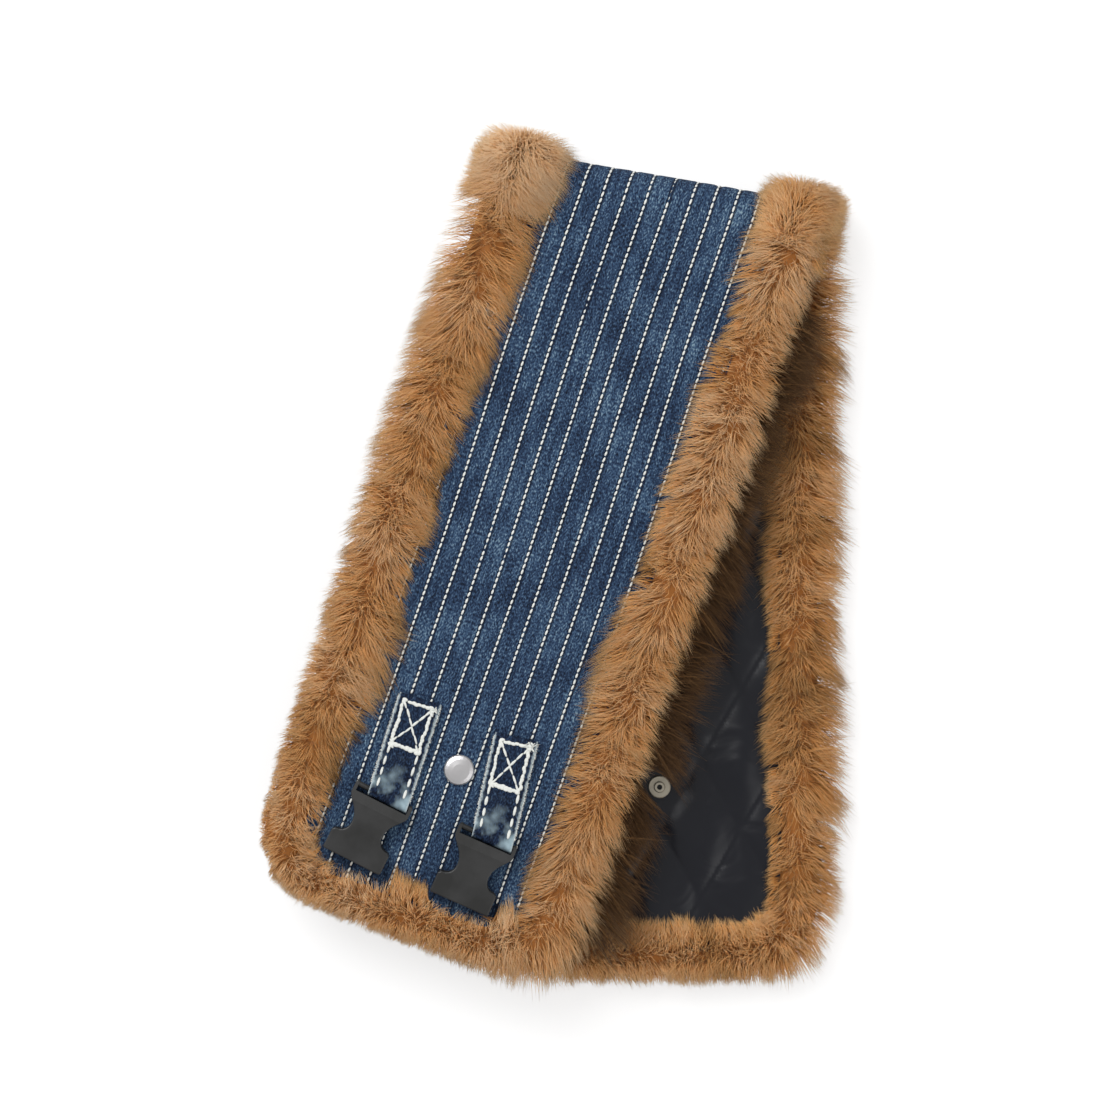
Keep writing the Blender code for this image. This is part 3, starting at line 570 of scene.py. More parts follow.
# The fringe's near-black tone is painted shade for the fur under the front half's edge.
SHADED_FRINGE_LOOK = dict(
    UNDER_LOOK, lengths=(12 * MM, 20 * MM, 31 * MM), start=math.radians(30), tone=0.03, fleck=0.03,
    patchy=0.02, nap=0.6, fan=0.95, bend=0.0, splay=0.0,
)
print("values in a look:", len(TOP_LOOK))

# %% [markdown]
# Every fibre is the modelled cone again, swept along its own line. Copies made one at a time would take
# minutes, so all the fibres of a piece are filled into one mesh by a few array operations, with each
# point's place in the colour map beside it.

# %% Growing fibres
TONE_WIDTH = 0.012
ROOT_INSET = 0.02
SIDE_GUIDE = (0.13, 0.31, 0.94)


def unit(vectors):
    """Vectors of length one in the same directions."""
    return vectors / np.maximum(np.linalg.norm(vectors, axis=-1, keepdims=True), 1e-12)


def grow(lines, tones, radius):
    """Fibre meshes along world lines: points, triangles, and each point's place in the colour map."""
    forward = unit(np.gradient(lines, axis=0))
    side = unit(np.cross(forward, SIDE_GUIDE))
    up = np.cross(side, forward)
    taper = np.sqrt(1 - LEVELS)
    count = lines.shape[1]
    points = np.empty((count, len(fibre_points), 3))
    chart = np.empty((count, len(fibre_points), 2))
    for k, (level, angle) in enumerate(zip(fibre_level, fibre_angle)):
        turned = np.cos(angle) * side[level] + np.sin(angle) * up[level]
        points[:, k] = lines[level] + turned * (radius * taper[level])[:, None]
        chart[:, k, 0] = tones + TONE_WIDTH * np.cos(angle)
        chart[:, k, 1] = ROOT_INSET + (1 - 2 * ROOT_INSET) * LEVELS[level]
    faces = fibre_faces[None] + (np.arange(count) * len(fibre_points))[:, None, None]
    return points.reshape(-1, 3), faces.reshape(-1, 3), chart.reshape(-1, 2)


def mesh_piece(name, parts, material):
    """One object from (points, triangles, chart) parts."""
    start = np.cumsum([0] + [len(points) for points, _, _ in parts])
    points = np.concatenate([points for points, _, _ in parts])
    faces = np.concatenate([faces + first for (_, faces, _), first in zip(parts, start)])
    chart = np.concatenate([chart for _, _, chart in parts])
    mesh = bpy.data.meshes.new(name)
    mesh.vertices.add(len(points))
    mesh.vertices.foreach_set("co", points.astype(np.float32).ravel())
    mesh.loops.add(faces.size)
    mesh.loops.foreach_set("vertex_index", faces.astype(np.int32).ravel())
    mesh.polygons.add(len(faces))
    mesh.polygons.foreach_set("loop_start", np.arange(0, faces.size, 3, dtype=np.int32))
    mesh.polygons.foreach_set("use_smooth", np.ones(len(faces), dtype=bool))
    mesh.uv_layers.new(name=FUR_MAP).data.foreach_set("uv", chart[faces.ravel()].astype(np.float32).ravel())
    mesh.update(calc_edges=True)
    mesh.validate()
    mesh.materials.append(material)
    piece = bpy.data.objects.new(name, mesh)
    bpy.context.scene.collection.objects.link(piece)
    return piece


print("triangles for a thousand fibres:", 1000 * len(fibre_faces))

# %% [markdown]
# Under its pile the binding has a soft core: a tube along the path, in the colour of the roots, which
# takes the panel's edge. It closes the small gaps between fibres, so far fewer of them are needed.

# %% The core of the binding
CORE_SIDES = 14
CORE_STEP = 4 * MM
CORE_TONE = 0.36
CORE_SPREAD = 0.02


def tube(rings):
    """Triangles and points of a closed tube through rings of points, with a cap at each end."""
    count, sides = rings.shape[:2]
    first = np.arange(sides)
    following = (first + 1) % sides
    faces = []
    for a in range(0, (count - 1) * sides, sides):
        b = a + sides
        faces += [np.stack([a + first, a + following, b + following], 1)]
        faces += [np.stack([a + first, b + following, b + first], 1)]
    centre, last = count * sides, (count - 1) * sides
    faces += [np.stack([np.full(sides, centre), following, first], 1)]
    faces += [np.stack([np.full(sides, centre + 1), last + first, last + following], 1)]
    return np.concatenate([rings.reshape(-1, 3), rings[[0, -1]].mean(1)]), np.concatenate(faces)


def backing(path, half, shift):
    """The fur's core along a path, with a dark corner of the colour map for all its faces."""
    at = np.linspace(0.0, path["at"][-1], max(6, round(path["at"][-1] / CORE_STEP)))
    points, outward, scale = along_path(path, at)
    angle = np.linspace(0.0, 2 * math.pi, CORE_SIDES, endpoint=False)
    out, rise = core_point(angle, scale[:, None], shift)
    plan = points[:, None] + outward[:, None] * out[..., None]
    points, faces = tube(to_world(half, np.concatenate([plan, rise[..., None]], -1)))
    count = len(points)
    tone = CORE_TONE + TONE_WIDTH * (np.arange(count) % 2)
    return points, faces, np.column_stack([tone, CORE_SPREAD * (np.arange(count) % 3)])


print("sides of the core:", CORE_SIDES)

# %% [markdown]
# Fibres that would run through a buckle or a snap are left out, as if the hard piece had pressed them
# aside, and so are the few that stray too far out. Those that would reach below the ground lie down on it.

# %% Fur pieces
FIBRE_RADIUS = 0.21 * MM
RADIUS_SPREAD = (0.75, 1.25)
FIBRE_FLOOR = 0.6 * MM
HARD_ROOM = 0.8 * MM
STUD_ROOM = 7.5 * MM
STRAY_SIDE, STRAY_END, STRAY_TOP = 9.3 * MM, 11.2 * MM, 9.4 * MM
STRAY_LOW = np.array(cad_low) - (STRAY_SIDE, STRAY_END, 0.0)
STRAY_HIGH = np.array(cad_high) + (STRAY_SIDE, STRAY_END, STRAY_TOP)

hard_names = [name for name in frame["nodes"] if name.startswith(("buckle_", "plug_", "snap_"))]
hard_boxes = [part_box(name) for name in hard_names]


def clear_of_hard(lines):
    """Which fibres keep out of the boxes round the buckles and the snap."""
    lines = np.concatenate([lines, (lines[1:] + lines[:-1]) / 2])
    stud_low, stud_high = (np.array(corner)[:2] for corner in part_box("snap_stud"))
    off_stud = np.linalg.norm(lines[..., :2] - (stud_low + stud_high) / 2, axis=-1) > STUD_ROOM
    free = off_stud.all(0) | (lines[0, :, 2] < FOLD_LEVEL)
    free &= ((lines > STRAY_LOW) & (lines < STRAY_HIGH)).all(-1).all(0)
    for low_corner, high_corner in hard_boxes:
        inside = (lines > np.array(low_corner) - HARD_ROOM) & (lines < np.array(high_corner) + HARD_ROOM)
        free &= ~inside.all(-1).any(0)
    return free


def fur_piece(name, seed, path, half, faces, parts=()):
    """Fibres along a path; faces holds a look and a count for its denim side (1) and lining side (-1)."""
    rng = np.random.default_rng(seed)
    parts = list(parts)
    for side, (look, count) in faces.items():
        lines, tones = comb(rng, path, count, look)
        lines[..., 2] *= side
        radius = FIBRE_RADIUS * rng.uniform(*RADIUS_SPREAD, count)
        lines = to_world(half, lines)
        lines[..., 2] = np.maximum(lines[..., 2], FIBRE_FLOOR)
        free = clear_of_hard(lines)
        parts.append(grow(lines[:, free], tones[free], radius[free]))
    piece = mesh_piece(name, parts, fur)
    print(name, len(piece.data.polygons), "triangles")
    return piece


def bind(half, word, seed, path, faces):
    """A fur strip with its core, which rides on its half and stands for its solid."""
    core = backing(path, half, faces[1][0]["shift"])
    piece = fur_piece(f"{half}_fur_{word}_pile", seed, path, half, faces, [core])
    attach(piece, half + "_half")
    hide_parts(f"{half}_fur_{word}")


print("fibres keep out of", len(hard_boxes), "boxes")

# %% [markdown]
# Each half is bound down both sides. The front half's denim side and the rear half's lining side are the
# ones in view, so most fibres go there. The values by side come from the flat lay: on the left the pile
# spreads out near the fold and is tucked in below, and on the right its underside is painted deep brown,
# as painted shade for the shadow that the front half throws under its own edge.

# %% Side strips
FRONT_SHIFT = {-1: -1 * MM, 1: 4 * MM}
FRONT_OUTER = {-1: (1.6, 0.2), 1: (0.7, 1.05)}
FRONT_TONE = {-1: 0.66, 1: 0.69}
FRONT_FADE = {-1: -0.12, 1: -0.08}
# On the right the underside's low tone is painted shade; on the left it is the fur's own tone.
FRONT_UNDER_TONE_AND_SHADE = {-1: 0.45, 1: 0.13}
REAR_LENGTHS = (8.5 * MM, 14 * MM, 16 * MM)
REAR_OUTER = (1.3, 1.3)
FRONT_TOP_COUNT, FRONT_UNDER_COUNT, REAR_UNDER_COUNT = 14000, 5500, 6600
REAR_TOP_COUNT = {-1: 12600, 1: 9000}
SIDE_SEED = 5
WORDS = {"front": {-1: "left", 1: "right"}, "rear": {-1: "right", 1: "left"}}

rear = dict(REAR_LOOK, outer=REAR_OUTER, lengths=REAR_LENGTHS)
for side, path in side_paths.items():
    edge = {"shift": FRONT_SHIFT[side], "outer": FRONT_OUTER[side]}
    top = dict(TOP_LOOK, **edge, tone=FRONT_TONE[side], fade=FRONT_FADE[side])
    below = dict(UNDER_LOOK, **edge, tone=FRONT_UNDER_TONE_AND_SHADE[side])
    strips = {
        "front": {1: (top, FRONT_TOP_COUNT), -1: (below, FRONT_UNDER_COUNT)},
        "rear": {1: (UNDER_LOOK, REAR_UNDER_COUNT), -1: (rear, REAR_TOP_COUNT[side])},
    }
    for half, faces in strips.items():
        bind(half, WORDS[half][side], SIDE_SEED + side + len(half), path, faces)

# %% [markdown]
# A slimmer strip closes each end, mitred at the corners where it meets the side strips. On the front half
# its outer pile grows longer from one corner to the other, which gives that end its slant.

# %% End strips
END_OUTER = (0.35, 1.15)
END_TONE = 0.73
END_TOP_COUNT, FRONT_END_UNDER, REAR_END_UNDER = 7500, 1800, 3600
END_SEED = 20

end_top = dict(TOP_LOOK, outer=END_OUTER, tone=END_TONE)
end_under = dict(UNDER_LOOK, outer=END_OUTER)
end_faces = {
    "front": {1: (end_top, END_TOP_COUNT), -1: (end_under, FRONT_END_UNDER)},
    "rear": {1: (UNDER_LOOK, REAR_END_UNDER), -1: (REAR_LOOK, END_TOP_COUNT)},
}
for half, faces in end_faces.items():
    bind(half, "end", END_SEED + len(half), end_path, faces)

# %% [markdown]
# Where the side strips go over the fold their pile bursts open into a round tuft, which sits over the
# crest.

# %% Tufts at the fold
CREST_TONE = {-1: 0.8, 1: 0.62}
CREST_INNER = {-1: 13 * MM, 1: 5 * MM}
CREST_MIDDLE, CREST_OUTER = 15 * MM, 9 * MM
CREST_COUNT, INSIDE_COUNT = 9000, 3000
INSIDE_LENGTHS = (8 * MM, 12 * MM, 19 * MM)
INSIDE_TONE = 0.5
INSIDE_START = math.radians(20)
CREST_SEED = 30

inside = dict(REAR_LOOK, lengths=INSIDE_LENGTHS, tone=INSIDE_TONE, start=INSIDE_START)
for side, path in fold_paths.items():
    lengths = (CREST_INNER[side], CREST_MIDDLE, CREST_OUTER)
    crest = dict(CREST_LOOK, tone=CREST_TONE[side], lengths=lengths)
    faces = {1: (crest, CREST_COUNT), -1: (inside, INSIDE_COUNT)}
    core = backing(path, "front", crest["shift"])
    name = f"fold_fur_{WORDS['front'][side]}_pile"
    share_fold(fur_piece(name, CREST_SEED + side, path, "front", faces, [core]))

# %% [markdown]
# Below the front half's right edge hangs a fringe of long hairs, clear against the lining. Their
# near-black tone is painted shade, for the shadow under the front half's edge. It is combed along the
# same edge as the strip above it, but grows from the underside alone and has no core.

# %% Fringe in painted shade
FRINGE_START = 40 * MM
FRINGE_OUTER = (0.9, 1.15)
FRINGE_COUNT = 11000
FRINGE_SEED = 40

fringe_path = joined(side_run(1, fold_line(EDGE_X, -FRINGE_START), PANEL_CORNER - PANEL_LENGTH))
fringe = dict(SHADED_FRINGE_LOOK, shift=FRONT_SHIFT[1], outer=FRINGE_OUTER)
faces = {-1: (fringe, FRINGE_COUNT)}
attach(fur_piece("front_fur_right_shaded_fringe", FRINGE_SEED, fringe_path, "front", faces), "front_half")

# %% [markdown]
# Both cloths are one length each that runs over the fold from end to end, one sheet instead of one for
# each half. A sheet is laid out as its flat cut, with rows that turn with the fold so that no face lies
# across the crest.

# %% The flat cut
REAR_END = 2 * MIDDLE[1] + PANEL_LENGTH
BAND_LENGTH = REAR_END + PANEL_LENGTH
CLOTH_MAP = "cloth"
ROWS_SQUARE = 200 * MM
SWELL_WAVES = 10
SWELL_STRETCH = (0.7, 1.4)
SWELL_SUM = 4


def swell(rng, x, y, wave):
    """A smooth random height from about -1 to 1 over a flat cut, with about that wave length."""
    total = np.zeros_like(x)
    round_angle = 2 * math.pi
    least, most = zip((0, round_angle), (0, round_angle), SWELL_STRETCH)
    for turn, shift, stretch in rng.uniform(least, most, (SWELL_WAVES, 3)):
        total += np.sin(round_angle * (x * math.cos(turn) + y * math.sin(turn)) / (wave * stretch) + shift)
    return total / SWELL_SUM


def ease(share):
    """A share from 0 to 1 that starts and stops gently; outside those it stays there."""
    share = np.clip(share, 0.0, 1.0)
    return share * share * (3 - 2 * share)


def cut_half_width(y):
    """Half the width of the flat cut at y, drawn in round the corners of both ends."""
    gap = np.clip(np.minimum(y + PANEL_LENGTH, REAR_END - y), 0.0, PANEL_CORNER)
    return PANEL_HALF_WIDTH - PANEL_CORNER + np.sqrt(PANEL_CORNER ** 2 - (PANEL_CORNER - gap) ** 2)


def cut_middle(y):
    """The middle of the flat cut at y; the fold's slant carries the rear half a little aside."""
    return 2 * MIDDLE[0] * np.clip(past_foot(0.0, y) / HALF_TURN, 0.0, 1.0)


def band_grid(across, along):
    """Flat-cut x and y of a grid's points; its rows run square at the ends and with the fold at the crest."""
    y = -PANEL_LENGTH + along * BAND_LENGTH
    x = cut_middle(y) + (2 * across - 1) * cut_half_width(y)
    turned = ease((ROWS_SQUARE - np.abs(y - MIDDLE[1])) / (ROWS_SQUARE - HALF_TURN))
    return x, y - (x - MIDDLE[0]) * ACROSS[0] / ACROSS[1] * turned


# %% [markdown]
# A sheet starts as one of Blender's own grids. Its points are moved to their places, each keeps its place
# on the flat cut in a texture map for the finish to follow, and the cloth is thickened behind its face.

# %% Laying a sheet


def cloth_grid(name, columns, rows):
    """A flat grid and its points' shares across and along, from 0 to 1."""
    bpy.ops.object.select_all(action="DESELECT")
    bpy.ops.mesh.primitive_grid_add(x_subdivisions=columns, y_subdivisions=rows, size=1.0, calc_uvs=False)
    piece = bpy.context.active_object
    piece.name = piece.data.name = name
    points = np.empty(len(piece.data.vertices) * 3)
    piece.data.vertices.foreach_get("co", points)
    points = points.reshape(-1, 3) + 0.5
    return piece, points[:, 0], points[:, 1]


def lay(piece, points, chart):
    """Move a grid's points to their places and write where each lay on the flat cut, in metres."""
    mesh = piece.data
    mesh.vertices.foreach_set("co", points.astype(np.float32).ravel())
    corners = np.empty(len(mesh.loops), dtype=np.int32)
    mesh.loops.foreach_get("vertex_index", corners)
    mesh.uv_layers.new(name=CLOTH_MAP).data.foreach_set("uv", chart[corners].astype(np.float32).ravel())
    mesh.update()


def turn_over(piece):
    """Make a sheet face the other way."""
    bpy.ops.object.select_all(action="DESELECT")
    piece.select_set(True)
    bpy.context.view_layer.objects.active = piece
    bpy.ops.object.mode_set(mode="EDIT")
    bpy.ops.mesh.select_all(action="SELECT")
    bpy.ops.mesh.flip_normals()
    bpy.ops.object.mode_set(mode="OBJECT")


def thicken(piece, thickness):
    """Give a sheet its thickness behind its face, and shade it smooth."""
    bpy.ops.object.select_all(action="DESELECT")
    piece.select_set(True)
    bpy.context.view_layer.objects.active = piece
    bpy.ops.object.modifier_add(type="SOLIDIFY")
    piece.modifiers[-1].thickness = thickness
    piece.modifiers[-1].offset = -1.0
    bpy.ops.object.modifier_apply(modifier=piece.modifiers[-1].name)
    bpy.ops.object.shade_smooth()


print("cloth map:", CLOTH_MAP)

# %% [markdown]
# The denim is sewn through the wadding in rows of white thread. Each row pulls a narrow dip into the cloth
# with small puckers along it, and a slow swell runs under all of them. The rows themselves have wandered
# sideways, to the left by the fold and to the right below, as a hand-fed cloth does.

# %% Washed denim
STITCH_PITCH = 11.8 * MM
SHIFT_START, SHIFT_SPAN, SHIFT_LEFT, SHIFT_RANGE = 60 * MM, 190 * MM, -2.6 * MM, 3.7 * MM
DENIM_COLUMNS, DENIM_ROWS, DENIM_SEED = 120, 361, 40
DENIM_THICK = 0.9 * MM
DIP_DEPTH, DIP_WIDTH = 0.55 * MM, 1.5 * MM
PUCKER_RISE, PUCKER_WAVE, PUCKER_WIDTH, PUCKER_STRETCH = 0.22 * MM, 8 * MM, 4 * MM, 0.6
SLOW_RISE, SLOW_WAVE = 0.4 * MM, 70 * MM
DENIM_MOST = 0.15 * MM


def row_shift(y):
    """How far the sewn rows have wandered sideways at y."""
    return SHIFT_LEFT + SHIFT_RANGE * ease((-y - SHIFT_START) / SHIFT_SPAN)


rng = np.random.default_rng(DENIM_SEED)
denim, across, along = cloth_grid("denim_band", DENIM_COLUMNS, DENIM_ROWS)
x, y = band_grid(across, along)
from_row = x - row_shift(y)
nearest = np.abs((from_row / STITCH_PITCH + 0.5) % 1 - 0.5) * STITCH_PITCH
pucker = PUCKER_RISE * swell(rng, x, PUCKER_STRETCH * y, PUCKER_WAVE)
height = -DIP_DEPTH * np.exp(-(nearest / DIP_WIDTH) ** 2)
height += pucker * np.exp(-(nearest / PUCKER_WIDTH) ** 2)
height += SLOW_RISE * swell(rng, x, y, SLOW_WAVE)
height = np.minimum(height, DENIM_MOST)
lay(denim, on_band(x, y, DENIM_FACE + height), np.column_stack([from_row, y]))
thicken(denim, DENIM_THICK)
print("denim:", len(denim.data.polygons), "faces")

# %% [markdown]
# Indigo dyes only the skin of a yarn, so wash and wear bring its pale heart out in flecks, most of all
# between the sewn rows. The dip beside each row is darker: partly its unfaded dye, partly painted shade
# for the groove. The flecks are fine noise drawn out along the warp, the fading is coarse noise, and the
# dark lines come from the distance to the rows.

# %% Denim finish
WARP_PULL, SLUB_PULL = (1.0, 0.5, 1.0), (1.0, 0.12, 1.0)
FLECK_SCALE, STREAK_SCALE, CLOUD_SCALE = 1300.0, 420.0, 30.0
FLECK_GAIN, FLECK_BASE, STREAK_GAIN, CLOUD_GAIN = 1.05, -0.38, 0.4, 0.34
YARN_BUMP, YARN_DEPTH = 0.35, 0.4 * MM
WASHED_DYE = ((0.28, "#101724"), (0.47, "#25354f"), (0.62, "#3f5875"), (0.86, "#8ea8b6"))
DYE_AND_SHADE_LINES = ((0.085, 0.075), (0.945, 0.05))
DIP_HEART, DYE_AND_SHADE_DARK = 0.3, 0.8


def indigo(name, stops):
    """A washed indigo finish on a piece's own cloth map, with its nodes, its map and its colour."""
    material, tree, shader = finish_of(name, stops[1][1], roughness=0.88, specular=0.15)
    chart = node(tree, "ShaderNodeUVMap", uv_map=CLOTH_MAP).outputs[0]
    warp = node(tree, "ShaderNodeMapping", {0: chart, 3: WARP_PULL}).outputs[0]
    slub = node(tree, "ShaderNodeMapping", {0: chart, 3: SLUB_PULL}).outputs[0]
    fleck = noise(tree, warp, FLECK_SCALE, detail=2.0)
    wear = reckon(tree, "MULTIPLY_ADD", fleck, FLECK_GAIN, FLECK_BASE)
    wear = reckon(tree, "MULTIPLY_ADD", noise(tree, slub, STREAK_SCALE, detail=2.0), STREAK_GAIN, wear)
    wear = reckon(tree, "MULTIPLY_ADD", noise(tree, chart, CLOUD_SCALE, detail=3.0), CLOUD_GAIN, wear)
    bump(tree, shader, fleck, YARN_BUMP, YARN_DEPTH)
    return material, tree, shader, chart, ramped(tree, wear, stops)


washed, tree, shader, chart, dye = indigo("washed_indigo_denim", WASHED_DYE)
beside = node(tree, "ShaderNodeSeparateXYZ", {0: chart}).outputs["X"]
phase = reckon(tree, "FRACT", reckon(tree, "DIVIDE", beside, STITCH_PITCH))
# Dark lines beside each sewn row: partly unfaded dye in the dip, partly painted shade.
shadows = []
for centre, reach in DYE_AND_SHADE_LINES:
    away = reckon(tree, "ABSOLUTE", reckon(tree, "SUBTRACT", phase, centre))
    shadows.append(remap(tree, away, DIP_HEART * reach, reach, DYE_AND_SHADE_DARK, 0.0))
dyed_and_shaded = mix(tree, reckon(tree, "MAXIMUM", *shadows), dye, colour("#0f1626"))
tree.links.new(dyed_and_shaded, shader.inputs["Base Color"])
denim.data.materials.append(washed)
share_fold(denim)
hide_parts("front_denim_shell", "rear_denim_shell")
print("finish:", washed.name)

# %% [markdown]
# One stitch is a stretched ball of a few dozen faces, modelled once. Every other is a copy laid between
# two points, which keeps it flat on the cloth wherever that bends.

# %% One stitch
bpy.ops.object.select_all(action="DESELECT")
bpy.ops.mesh.primitive_uv_sphere_add(segments=6, ring_count=4, radius=0.5)
bpy.ops.object.mode_set(mode="EDIT")
bpy.ops.mesh.select_all(action="SELECT")
bpy.ops.mesh.quads_convert_to_tris()
bpy.ops.object.mode_set(mode="OBJECT")
stitch_points, stitch_faces = read_shape(bpy.context.active_object)
cotton = finish_of("white_cotton_thread", "#eceee9", roughness=0.75, specular=0.25)[0]


def sew(ends, lift, width, rise):
    """Stitches between world points `ends` (2, count, 3), each lifted along `lift`, as one mesh part."""
    forward = ends[1] - ends[0]
    side = unit(np.cross(lift, forward)) * np.reshape(width, (-1, 1))
    up = lift * rise
    centre = ends.mean(0)
    local = stitch_points[None, :, :, None]
    points = centre[:, None] + forward[:, None] * local[:, :, 2]
    points = points + side[:, None] * local[:, :, 0] + up[:, None] * local[:, :, 1]
    faces = stitch_faces[None] + (np.arange(len(centre)) * len(stitch_points))[:, None, None]
    chart = np.tile(stitch_points[:, :2] + 0.5, (len(centre), 1))
    return points.reshape(-1, 3), faces.reshape(-1, 3), chart


print("stitch:", len(stitch_points), "points,", len(stitch_faces), "triangles")

# %% [markdown]
# A sewn row is a line of short, fat stitches, each leaning a little across the row where it dives into
# the cloth. The places are counted both ways from the crest, where the muff parts as it opens, so that the
# stitches end there.

# %% Rows of white stitches
STITCH_STEP = 3.46 * MM
STITCH_WIDTH = 1.4 * MM
STITCH_RISE = 0.85 * MM
STITCH_SINK = 0.18 * MM
STITCH_SHARE = (0.84, 0.94)
STITCH_SLANT = (0.32 * MM, 0.12 * MM)
STEP_STRAY = 0.1 * MM
OUTER_ROW = 6
END_PLACES = 4
SEAM_SIDE, SEAM_END = 5 * MM, 6 * MM
STITCH_SEED = 50

rng = np.random.default_rng(STITCH_SEED)
rows = np.arange(-OUTER_ROW, OUTER_ROW + 1)
places = np.arange(0.5, BAND_LENGTH / 2 / STITCH_STEP - END_PLACES)
row, place = (grid.ravel() for grid in np.meshgrid(rows, np.concatenate([-places, places]), indexing="ij"))
crest_y = fold_line(row * STITCH_PITCH + row_shift(MIDDLE[1]), HALF_TURN / 2)
stray = rng.normal(0.0, STEP_STRAY, len(row)) * (np.abs(place) > 1)
middle_y = crest_y + place * STITCH_STEP + stray
row_x = row * STITCH_PITCH + row_shift(middle_y)
inset = np.minimum(middle_y + PANEL_LENGTH, REAR_END - middle_y)
sewn = (np.abs(row_x - cut_middle(middle_y)) < cut_half_width(middle_y) - SEAM_SIDE) & (inset > SEAM_END)
row_x, middle_y = row_x[sewn], middle_y[sewn]
length = STITCH_STEP * rng.uniform(*STITCH_SHARE, len(row_x))
slant = rng.normal(*STITCH_SLANT, len(row_x))
level = DENIM_FACE - STITCH_SINK
ends = np.stack([on_band(row_x + k * slant, middle_y + k * length, level) for k in (-0.5, 0.5)])
lift = unit(on_band(row_x, middle_y, level + MM) - on_band(row_x, middle_y, level))
stitching = mesh_piece("pinstripe_stitching", [sew(ends, lift, STITCH_WIDTH, STITCH_RISE)], cotton)
share_fold(stitching)
print("stitches:", len(row_x), "triangles:", len(stitching.data.polygons))

# %% [markdown]
# The lining is black satin, quilted to the wadding in diamonds. The sewn lines stay down while each
# diamond swells between them. Satin is slack and thin, so soft folds run over the swells as well. Round
# the snap, along the edges and at the fold the swells die away.

# %% Quilted satin lining
QUILT_COLUMN = 11.3 * MM
QUILT_ROW = 19.28 * MM
QUILT_START = PANEL_CORNER - PANEL_LENGTH
QUILT_PUFF, PUFF_POWER = 2.6 * MM, 0.5
SLACK_RISE, SLACK_WAVE, SLACK_STRETCH = 0.5 * MM, 24 * MM, 0.6
SEAM_EASE, CREST_EASE = 14 * MM, 30 * MM
SNAP_FLAT, SNAP_EASE = 8 * MM, 12 * MM
LINING_COLUMNS, LINING_ROWS, LINING_SEED = 100, 471, 60
SATIN_THICK = 0.5 * MM


def quilt(x, y):
    """The two sewn families' phases, 0 on a sewn line and 1 midway between two, for front or rear."""
    rear = past_foot(x, y) > HALF_TURN / 2
    front_x = np.where(rear, 2 * MIDDLE[0] - x, x) / QUILT_COLUMN
    front_y = (np.where(rear, 2 * MIDDLE[1] - y, y) - QUILT_START) / QUILT_ROW
    return [np.abs(np.cos(math.pi / 4 * (front_x + k * front_y))) for k in (-1, 1)]


rng = np.random.default_rng(LINING_SEED)
lining, across, along = cloth_grid("satin_lining", LINING_COLUMNS, LINING_ROWS)
x, y = band_grid(across, along)
first, second = quilt(x, y)
from_seam = cut_half_width(y) - np.abs(x - cut_middle(y))
from_crest = np.abs(past_foot(x, y) - HALF_TURN / 2) - HALF_TURN / 2
puff = QUILT_PUFF * (first * second) ** PUFF_POWER
puff += SLACK_RISE * swell(rng, x, SLACK_STRETCH * y, SLACK_WAVE) * first * second
flat = on_band(x, y, LINING_FACE)
for name in ("snap_stud", "snap_socket"):
    low_corner, high_corner = (np.array(corner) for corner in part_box(name))
    away = np.linalg.norm(flat - (low_corner + high_corner) / 2, axis=1)
    puff *= np.clip((away - SNAP_FLAT) / SNAP_EASE, 0.0, 1.0)
puff = puff * np.clip(from_seam / SEAM_EASE, 0.0, 1.0) * np.clip(from_crest / CREST_EASE, 0.0, 1.0)
lay(lining, on_band(x, y, LINING_FACE - puff), np.column_stack([x, y]))
turn_over(lining)
thicken(lining, SATIN_THICK)
print("lining:", len(lining.data.polygons), "faces")

# %% [markdown]
# Satin is smooth, so its looks are all in its creases: soft noise bumps the surface, and the large lamp
# draws a bright line along each crease while the rest stays nearly black.

# %% Satin finish
CREASE_SCALE, CREASE_DETAIL, CREASE_TWIST = 42.0, 1.5, 0.7
CREASE_BUMP, CREASE_DEPTH = 0.55, 3.0 * MM

satin, tree, shader = finish_of("black_satin", "#070914", roughness=0.3, specular=0.42)
chart = node(tree, "ShaderNodeUVMap", uv_map=CLOTH_MAP).outputs[0]
bump(tree, shader, noise(tree, chart, CREASE_SCALE, CREASE_DETAIL, CREASE_TWIST), CREASE_BUMP, CREASE_DEPTH)
lining.data.materials.append(satin)
share_fold(lining)
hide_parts("front_quilted_lining", "rear_quilted_lining")
print("finish:", satin.name)

# %% [markdown]
# Between the two cloths lies the wadding, a plain pad in each half. Only its edge could ever be seen, so a
# coarse grid is enough: it is laid under the denim and thickened inwards. The two pads stop short of each
# other at the crest, where the cloths alone go over the fold.

# %% Wadding
WADDING_THICK = 5.0 * MM
WADDING_TOP = 2.1 * MM
WADDING_SHARE = 0.98
WADDING_COLUMNS, WADDING_ROWS = 30, 60
CREST_STOP = 0.488

fleece = finish_of("white_polyester_wadding", "#e4e2dc", roughness=0.95, specular=0.1)[0]
for half in ("front", "rear"):
    pad, across, along = cloth_grid(half + "_wadding_pad", WADDING_COLUMNS, WADDING_ROWS)
    from_end = along * CREST_STOP
    x, y = band_grid(0.5 + WADDING_SHARE * (across - 0.5), from_end if half == "front" else 1 - from_end)
    lay(pad, on_band(x, y, WADDING_TOP), np.column_stack([x, y]))
    if half == "rear":
        turn_over(pad)
    thicken(pad, WADDING_THICK)
    pad.data.materials.append(fleece)
    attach(pad, half + "_half")
    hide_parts(half + "_wadding")
    print(pad.name, len(pad.data.polygons), "faces")

# %% [markdown]
# Each buckle half hangs on a loop of the same denim in a darker dye: folded round the buckle's bar, sewn
# down with a boxed cross and left raw at its edges. The loop is one closed ribbon. It runs square to the
# bar where it turns round it and square to its own length where it is sewn, as slack cloth does.

